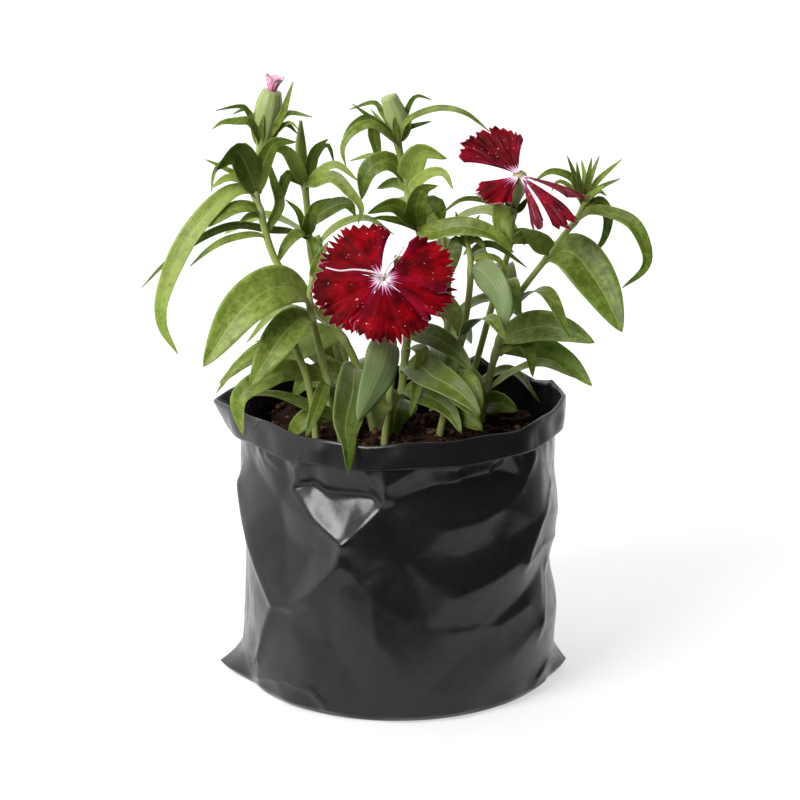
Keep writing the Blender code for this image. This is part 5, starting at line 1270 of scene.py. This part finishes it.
# Petal: soft living tissue covered in tiny upright cells, which give it a velvet depth. It is crimson,
# near-black where it turns from the light, with a white eye that breaks outward in lilac rays, a thin
# pale line along the teeth and pink streaks where it has faded. Its underside is a dull pink. The cells
# are too fine to show, so its relief is drawn as streaks about a millimetre wide.
velvet, tree, shader, place = start_finish("crimson_petal_velvet", 0.62, 1.4)
shader.inputs["Sheen Weight"].default_value = 0.02
shader.inputs["Sheen Roughness"].default_value = 0.4
shader.inputs["Sheen Tint"].default_value = linear("#ff7090")
shader.inputs["Specular IOR Level"].default_value = 0.08
across, along, under, past_eye, reach, margin, flank, faded = (
    add_node(tree, "Attribute", {"attribute_name": mark}, {}).outputs["Fac"]
    for mark in ("across", "along", "under", "past_eye", "reach", "margin", "flank", "faded"))
polar = add_node(tree, "CombineXYZ", {}, {0: across, 1: along})
stretched = add_node(tree, "Mapping", {"Scale": (30.0, 2.2, 1.0)}, {"Vector": polar.outputs["Vector"]})
streak = add_node(tree, "TexNoise", {"Scale": 1.0, "Detail": 4.0, "Roughness": 0.6},
                  {"Vector": stretched.outputs["Vector"]})
blotch = add_node(tree, "TexNoise", {"Scale": 1 / (6 * MM), "Detail": 3.0}, {"Vector": place})
depth = add_node(tree, "Math", {"operation": "MULTIPLY_ADD", 1: 0.5},
                 {0: streak.outputs["Fac"], 2: blotch.outputs["Fac"]})
red = add_node(tree, "ValToRGB", {"stops": [(0.55, "#3a0003"), (0.75, "#6a0008"), (0.95, "#980012")]},
               {"Fac": depth.outputs[0]})
flank_mask = add_node(tree, "MapRange", {"From Min": 0.0, "From Max": 4.0, "To Min": 0.3, "To Max": 0.0},
                      {"Value": flank})
flank_blotch = add_node(tree, "Math", {"operation": "MULTIPLY"},
                        {0: flank_mask.outputs["Result"], 1: blotch.outputs["Fac"]})
tinted = add_node(tree, "Mix", {"data_type": "RGBA", 7: linear("#8c0a48")},
                  {0: flank_blotch.outputs[0], 6: red.outputs["Color"]})
feathered = add_node(tree, "Math", {"operation": "MULTIPLY_ADD", 1: 1.6},
                     {0: streak.outputs["Fac"], 2: past_eye})
eye_mask = add_node(tree, "MapRange", {"From Min": 0.4, "From Max": 1.3, "To Min": 1.0, "To Max": 0.0},
                    {"Value": feathered.outputs[0]})
eye_reach = add_node(tree, "Math", {"operation": "DIVIDE", 1: 8.0}, {0: reach})
eye_colour = add_node(tree, "ValToRGB",
                      {"stops": [(0.25, "#f4e6f0"), (0.42, "#dfaed0"), (0.65, "#b65c9a")]},
                      {"Fac": eye_reach.outputs[0]})
with_eye = add_node(tree, "Mix", {"data_type": "RGBA"},
                    {0: eye_mask.outputs["Result"], 6: tinted.outputs[2], 7: eye_colour.outputs["Color"]})
fleck = add_node(tree, "TexNoise", {"Scale": 1 / (1.1 * MM), "Detail": 1.0}, {"Vector": place})
fleck_mask = add_node(tree, "MapRange", {"From Min": 0.73, "From Max": 0.77, "To Min": 0.0, "To Max": 0.8},
                      {"Value": fleck.outputs["Fac"]})
flecked = add_node(tree, "Mix", {"data_type": "RGBA", 7: linear("#e8a8bc")},
                   {0: fleck_mask.outputs["Result"], 6: with_eye.outputs[2]})
rim_mask = add_node(tree, "MapRange", {"From Min": 0.05, "From Max": 0.5, "To Min": 0.75, "To Max": 0.0},
                    {"Value": margin})
with_rim = add_node(tree, "Mix", {"data_type": "RGBA", 7: linear("#dc9cac")},
                    {0: rim_mask.outputs["Result"], 6: flecked.outputs[2]})
underside = add_node(tree, "Mix", {"data_type": "RGBA", 6: linear("#b8506c"), 7: linear("#d79aa8")},
                     {0: streak.outputs["Fac"]})
in_streaks = add_node(tree, "MapRange", {"From Min": 0.5, "From Max": 0.66},
                      {"Value": streak.outputs["Fac"]})
faded_mask = add_node(tree, "Math", {"operation": "MULTIPLY"},
                      {0: faded, 1: in_streaks.outputs["Result"]})
with_streaks = add_node(tree, "Mix", {"data_type": "RGBA"},
                        {0: faded_mask.outputs[0], 6: with_rim.outputs[2], 7: underside.outputs[2]})
face = add_node(tree, "Mix", {"data_type": "RGBA"},
                {0: under, 6: with_streaks.outputs[2], 7: underside.outputs[2]})
tree.links.new(face.outputs[2], shader.inputs["Base Color"])
petal_bump = add_node(tree, "Bump", {"Strength": 0.35, "Distance": 0.4 * MM},
                      {"Height": streak.outputs["Fac"]})
tree.links.new(petal_bump.outputs["Normal"], shader.inputs["Normal"])

# Throat: the pale greenish-beige mouth of the flower tube, seen as a small pit between the claws.
throat_flesh, _, shader, _ = start_finish("beige_throat", 0.6, 1.4)
shader.inputs["Base Color"].default_value = linear("#b9a878")

petal_draw = random.Random(PETAL_SEED)
for name, bloom in BLOOMS.items():
    centre, right, up, out = bloom_frame(name)
    parts = [petal_part(centre, right, up, out, petal, faded, petal_draw)
             for petal, faded in zip(bloom["petals"], PETALS_FADED[name])]
    piece_from(name + "_velvet", parts, velvet, [name])
    throat = [Vector((*(centre + out * lift), THROAT_RADIUS)) for lift in THROAT_LIFTS]
    piece_from(name + "_throat", [bar_part(throat, THROAT_SIDES)], throat_flesh, [name])


# Styles
# Two white styles stand out of the throat of the front bloom and curl over its petals. They are thin,
# soft and slightly furry. Each route is measured right, up and outward from the throat.
STYLE_RADIUS = 0.42
STYLE_THINNER = 0.45
STYLE_ROOTS = (-1.6, 1.8)
STYLE_SPANS = 34
STYLE_SIDES = 10
STYLE_ROUTES = (((-3.2, 1.0, 3.8), (-9.0, 1.6, 4.4), (-14.0, 1.4, 4.0), (-18.5, 2.8, 3.4)),
                ((1.8, 3.0, 3.8), (5.0, 6.6, 4.4), (6.8, 10.0, 4.0)))
style_flesh, tree, shader, place = start_finish("white_style_flesh", 0.5, 1.4)
shader.inputs["Subsurface Weight"].default_value = 0.2
shader.inputs["Subsurface Scale"].default_value = 0.6 * MM
fur = add_node(tree, "TexNoise", {"Scale": 1 / (0.4 * MM), "Detail": 3.0}, {"Vector": place})
white = add_node(tree, "ValToRGB", {"stops": [(0.3, "#e2c9d6"), (0.7, "#f8f1f5")]},
                 {"Fac": fur.outputs["Fac"]})
tree.links.new(white.outputs["Color"], shader.inputs["Base Color"])
fur_bump = add_node(tree, "Bump", {"Strength": 0.5, "Distance": 0.15 * MM}, {"Height": fur.outputs["Fac"]})
tree.links.new(fur_bump.outputs["Normal"], shader.inputs["Normal"])
centre, right, up, out = bloom_frame("front_bloom_petals")
style_parts = []
for route in STYLE_ROUTES:
    points = [centre + out * depth for depth in STYLE_ROOTS]
    points += [centre + right * x + up * y + out * z for x, y, z in route]
    marks = smooth_route([Vector((*point, STYLE_RADIUS)) for point in points], STYLE_SPANS)
    for number, mark in enumerate(marks):
        mark.w = STYLE_RADIUS * (1.0 - STYLE_THINNER * number / STYLE_SPANS)
    style_parts.append(bar_part(marks, STYLE_SIDES))
piece_from("front_bloom_white_styles", style_parts, style_flesh, ["front_bloom_styles"])


# Bud petals
# The left bud has begun to open: its petals are still furled in a tight cone, and only their ragged pink
# ends show above the calyx.
BUD_PETALS = 10
BUD_PETAL_GRID = 9
BUD_PETAL_THICKNESS = 0.3
BUD_ROOT_DEPTH = 1.0
BUD_ROOT_RADIUS = 0.9
BUD_TIP_LENGTH = 5.2
BUD_TIP_RADIUS = 2.9
BUD_INNER_LENGTH = 0.8
BUD_INNER_RADIUS = 0.75
BUD_HALF_WIDTH = 0.8
BUD_WIDENING = 0.75
BUD_CURL = 0.4
BUD_TOOTH_CUT = 0.13
BUD_CORNER_CUT = 0.12
BUD_CORE = ((-4.0, 1.4), (1.0, 1.4), (2.6, 1.5), (3.6, 0.8))
BUD_CORE_SIDES = 12
bud_flesh, tree, shader, place = start_finish("pink_bud_petal", 0.6, 1.4)
shader.inputs["Sheen Weight"].default_value = 0.2
along = add_node(tree, "Attribute", {"attribute_name": "along"}, {}).outputs["Fac"]
blush = add_node(tree, "TexNoise", {"Scale": 1 / (1.2 * MM), "Detail": 3.0}, {"Vector": place})
mixed = add_node(tree, "Math", {"operation": "MULTIPLY_ADD", 1: 0.5},
                 {0: along, 2: blush.outputs["Fac"]})
pink = add_node(tree, "ValToRGB", {"stops": [(0.35, "#8e2a5c"), (0.65, "#c85f96"), (0.95, "#ecb2cc")]},
                {"Fac": mixed.outputs[0]})
tree.links.new(pink.outputs["Color"], shader.inputs["Base Color"])
bud_bump = add_node(tree, "Bump", {"Strength": 0.3, "Distance": 0.2 * MM}, {"Height": blush.outputs["Fac"]})
tree.links.new(bud_bump.outputs["Normal"], shader.inputs["Normal"])


def bud_petal(mouth, ahead, number):
    """One furled petal of the bud. Every other one stands inside its neighbours and is shorter."""
    out = Matrix.Rotation(math.tau * number / BUD_PETALS, 3, ahead) @ ahead.orthogonal().normalized()
    side = ahead.cross(out)
    outer = number % 2
    length = BUD_TIP_LENGTH * (1.0 if outer else BUD_INNER_LENGTH) + BUD_ROOT_DEPTH
    spread = (BUD_TIP_RADIUS - BUD_ROOT_RADIUS) * (1.0 if outer else BUD_INNER_RADIUS)
    grid = np.zeros((BUD_PETAL_GRID, BUD_PETAL_GRID, 3))
    shares = np.linspace(0, 1, BUD_PETAL_GRID)
    for i, share in enumerate(shares):
        for j, across in enumerate(np.linspace(-1, 1, BUD_PETAL_GRID)):
            ragged = 1 - BUD_TOOTH_CUT * (j % 2) * share ** 3 - BUD_CORNER_CUT * across ** 2
            lift = length * share * ragged - BUD_ROOT_DEPTH
            reach = BUD_ROOT_RADIUS + spread * share ** 1.3 - BUD_CURL * across ** 2
            half = BUD_HALF_WIDTH + BUD_WIDENING * share
            grid[i, j] = mouth + ahead * lift + out * reach + side * half * across
    thickness = np.full(grid.shape[:2], BUD_PETAL_THICKNESS)
    return blade_part(grid, thickness, {"along": shares[:, None]})


mouth, ahead = calyx_mouth("left_bud_stem")
bud_parts = [bud_petal(mouth, ahead, number) for number in range(BUD_PETALS)]
core = [Vector((*(mouth + ahead * lift), radius)) for lift, radius in BUD_CORE]
bud_parts.append(bar_part(core, BUD_CORE_SIDES, lambda number: {"along": 0.1, "under": 0.0}))
piece_from("left_bud_pink_petals", bud_parts, bud_flesh, ["left_bud_petals"])


# Floor and light
# A board of white acrylic, which glows a little as if lit from below, ends in front of the bag and to its
# right. Its colour turns greyer towards its front edge: this is painted shade that evens out the stronger
# light falling there. One soft light stands in front at the upper left. The room is bright behind and at
# the left and dim in front at the right, so the film shows its facets. Metres are used here.
BOARD_CORNERS = ((-4.0, -0.14, 0.0), (0.14, -0.14, 0.0), (0.6, 4.0, 0.0), (-4.0, 4.0, 0.0))
BOARD_PAINTED_SHADE_END = 0.35
BRIGHT_SIDE = (-0.6, 0.75, 0.0)
LIGHT_PLACE = (-0.62, -0.74, 0.82)
LIGHT_TARGET = (0.0, 0.0, 0.09)
LIGHT_SIZE = 0.6
LIGHT_WATTS = 16.0
floor_mesh = bpy.data.meshes.new("white_board")
floor_mesh.from_pydata(BOARD_CORNERS, [], [(0, 1, 2, 3)])
floor = bpy.data.objects.new("white_board", floor_mesh)
bpy.context.scene.collection.objects.link(floor)
board, tree, shader, place = start_finish("glowing_white_board_with_painted_shade", 0.8, 1.45)
shader.inputs["Specular IOR Level"].default_value = 0.1
from_front = add_node(tree, "SeparateXYZ", {}, {0: place})
# Painted shade: the board's colour turns greyer towards its front edge, where the light on it is strongest,
# so that the board reads evenly white.
painted_shade_grade = add_node(tree, "MapRange", {"From Min": BOARD_CORNERS[0][1], "From Max": BOARD_PAINTED_SHADE_END},
                 {"Value": from_front.outputs["Y"]})
painted_shade_board_colour = add_node(tree, "ValToRGB", {"stops": [(0.0, "#a2a2a2"), (1.0, "#cacaca")]},
                   {"Fac": painted_shade_grade.outputs["Result"]})
tree.links.new(painted_shade_board_colour.outputs["Color"], shader.inputs["Base Color"])
# The board glows evenly. This is painted light that pales the shadows on it and lights the plant a little
# from below.
shader.inputs["Emission Color"].default_value = (1.0, 1.0, 1.0, 1.0)
shader.inputs["Emission Strength"].default_value = 0.6
floor_mesh.materials.append(board)

world = bpy.data.worlds.new("pale_room")
world.use_nodes = True
tree = world.node_tree
heading = add_node(tree, "TexCoord", {}, {}).outputs["Generated"]
backward = add_node(tree, "VectorMath", {"operation": "DOT_PRODUCT", 1: BRIGHT_SIDE}, {0: heading})
glow = add_node(tree, "MapRange", {"From Min": -0.3, "From Max": 0.5, "To Min": 0.14, "To Max": 1.4},
                {"Value": backward.outputs["Value"]})
tree.links.new(glow.outputs["Result"], tree.nodes["Background"].inputs["Strength"])
tree.nodes["Background"].inputs["Color"].default_value = (1.0, 1.0, 1.0, 1.0)
bpy.context.scene.world = world

lamp = bpy.data.lights.new("window_light", "AREA")
lamp.shape = "SQUARE"
lamp.size = LIGHT_SIZE
lamp.energy = LIGHT_WATTS
light = bpy.data.objects.new("window_light", lamp)
bpy.context.scene.collection.objects.link(light)
light.location = LIGHT_PLACE
light.rotation_euler = (Vector(LIGHT_TARGET) - light.location).to_track_quat("-Z", "Y").to_euler()
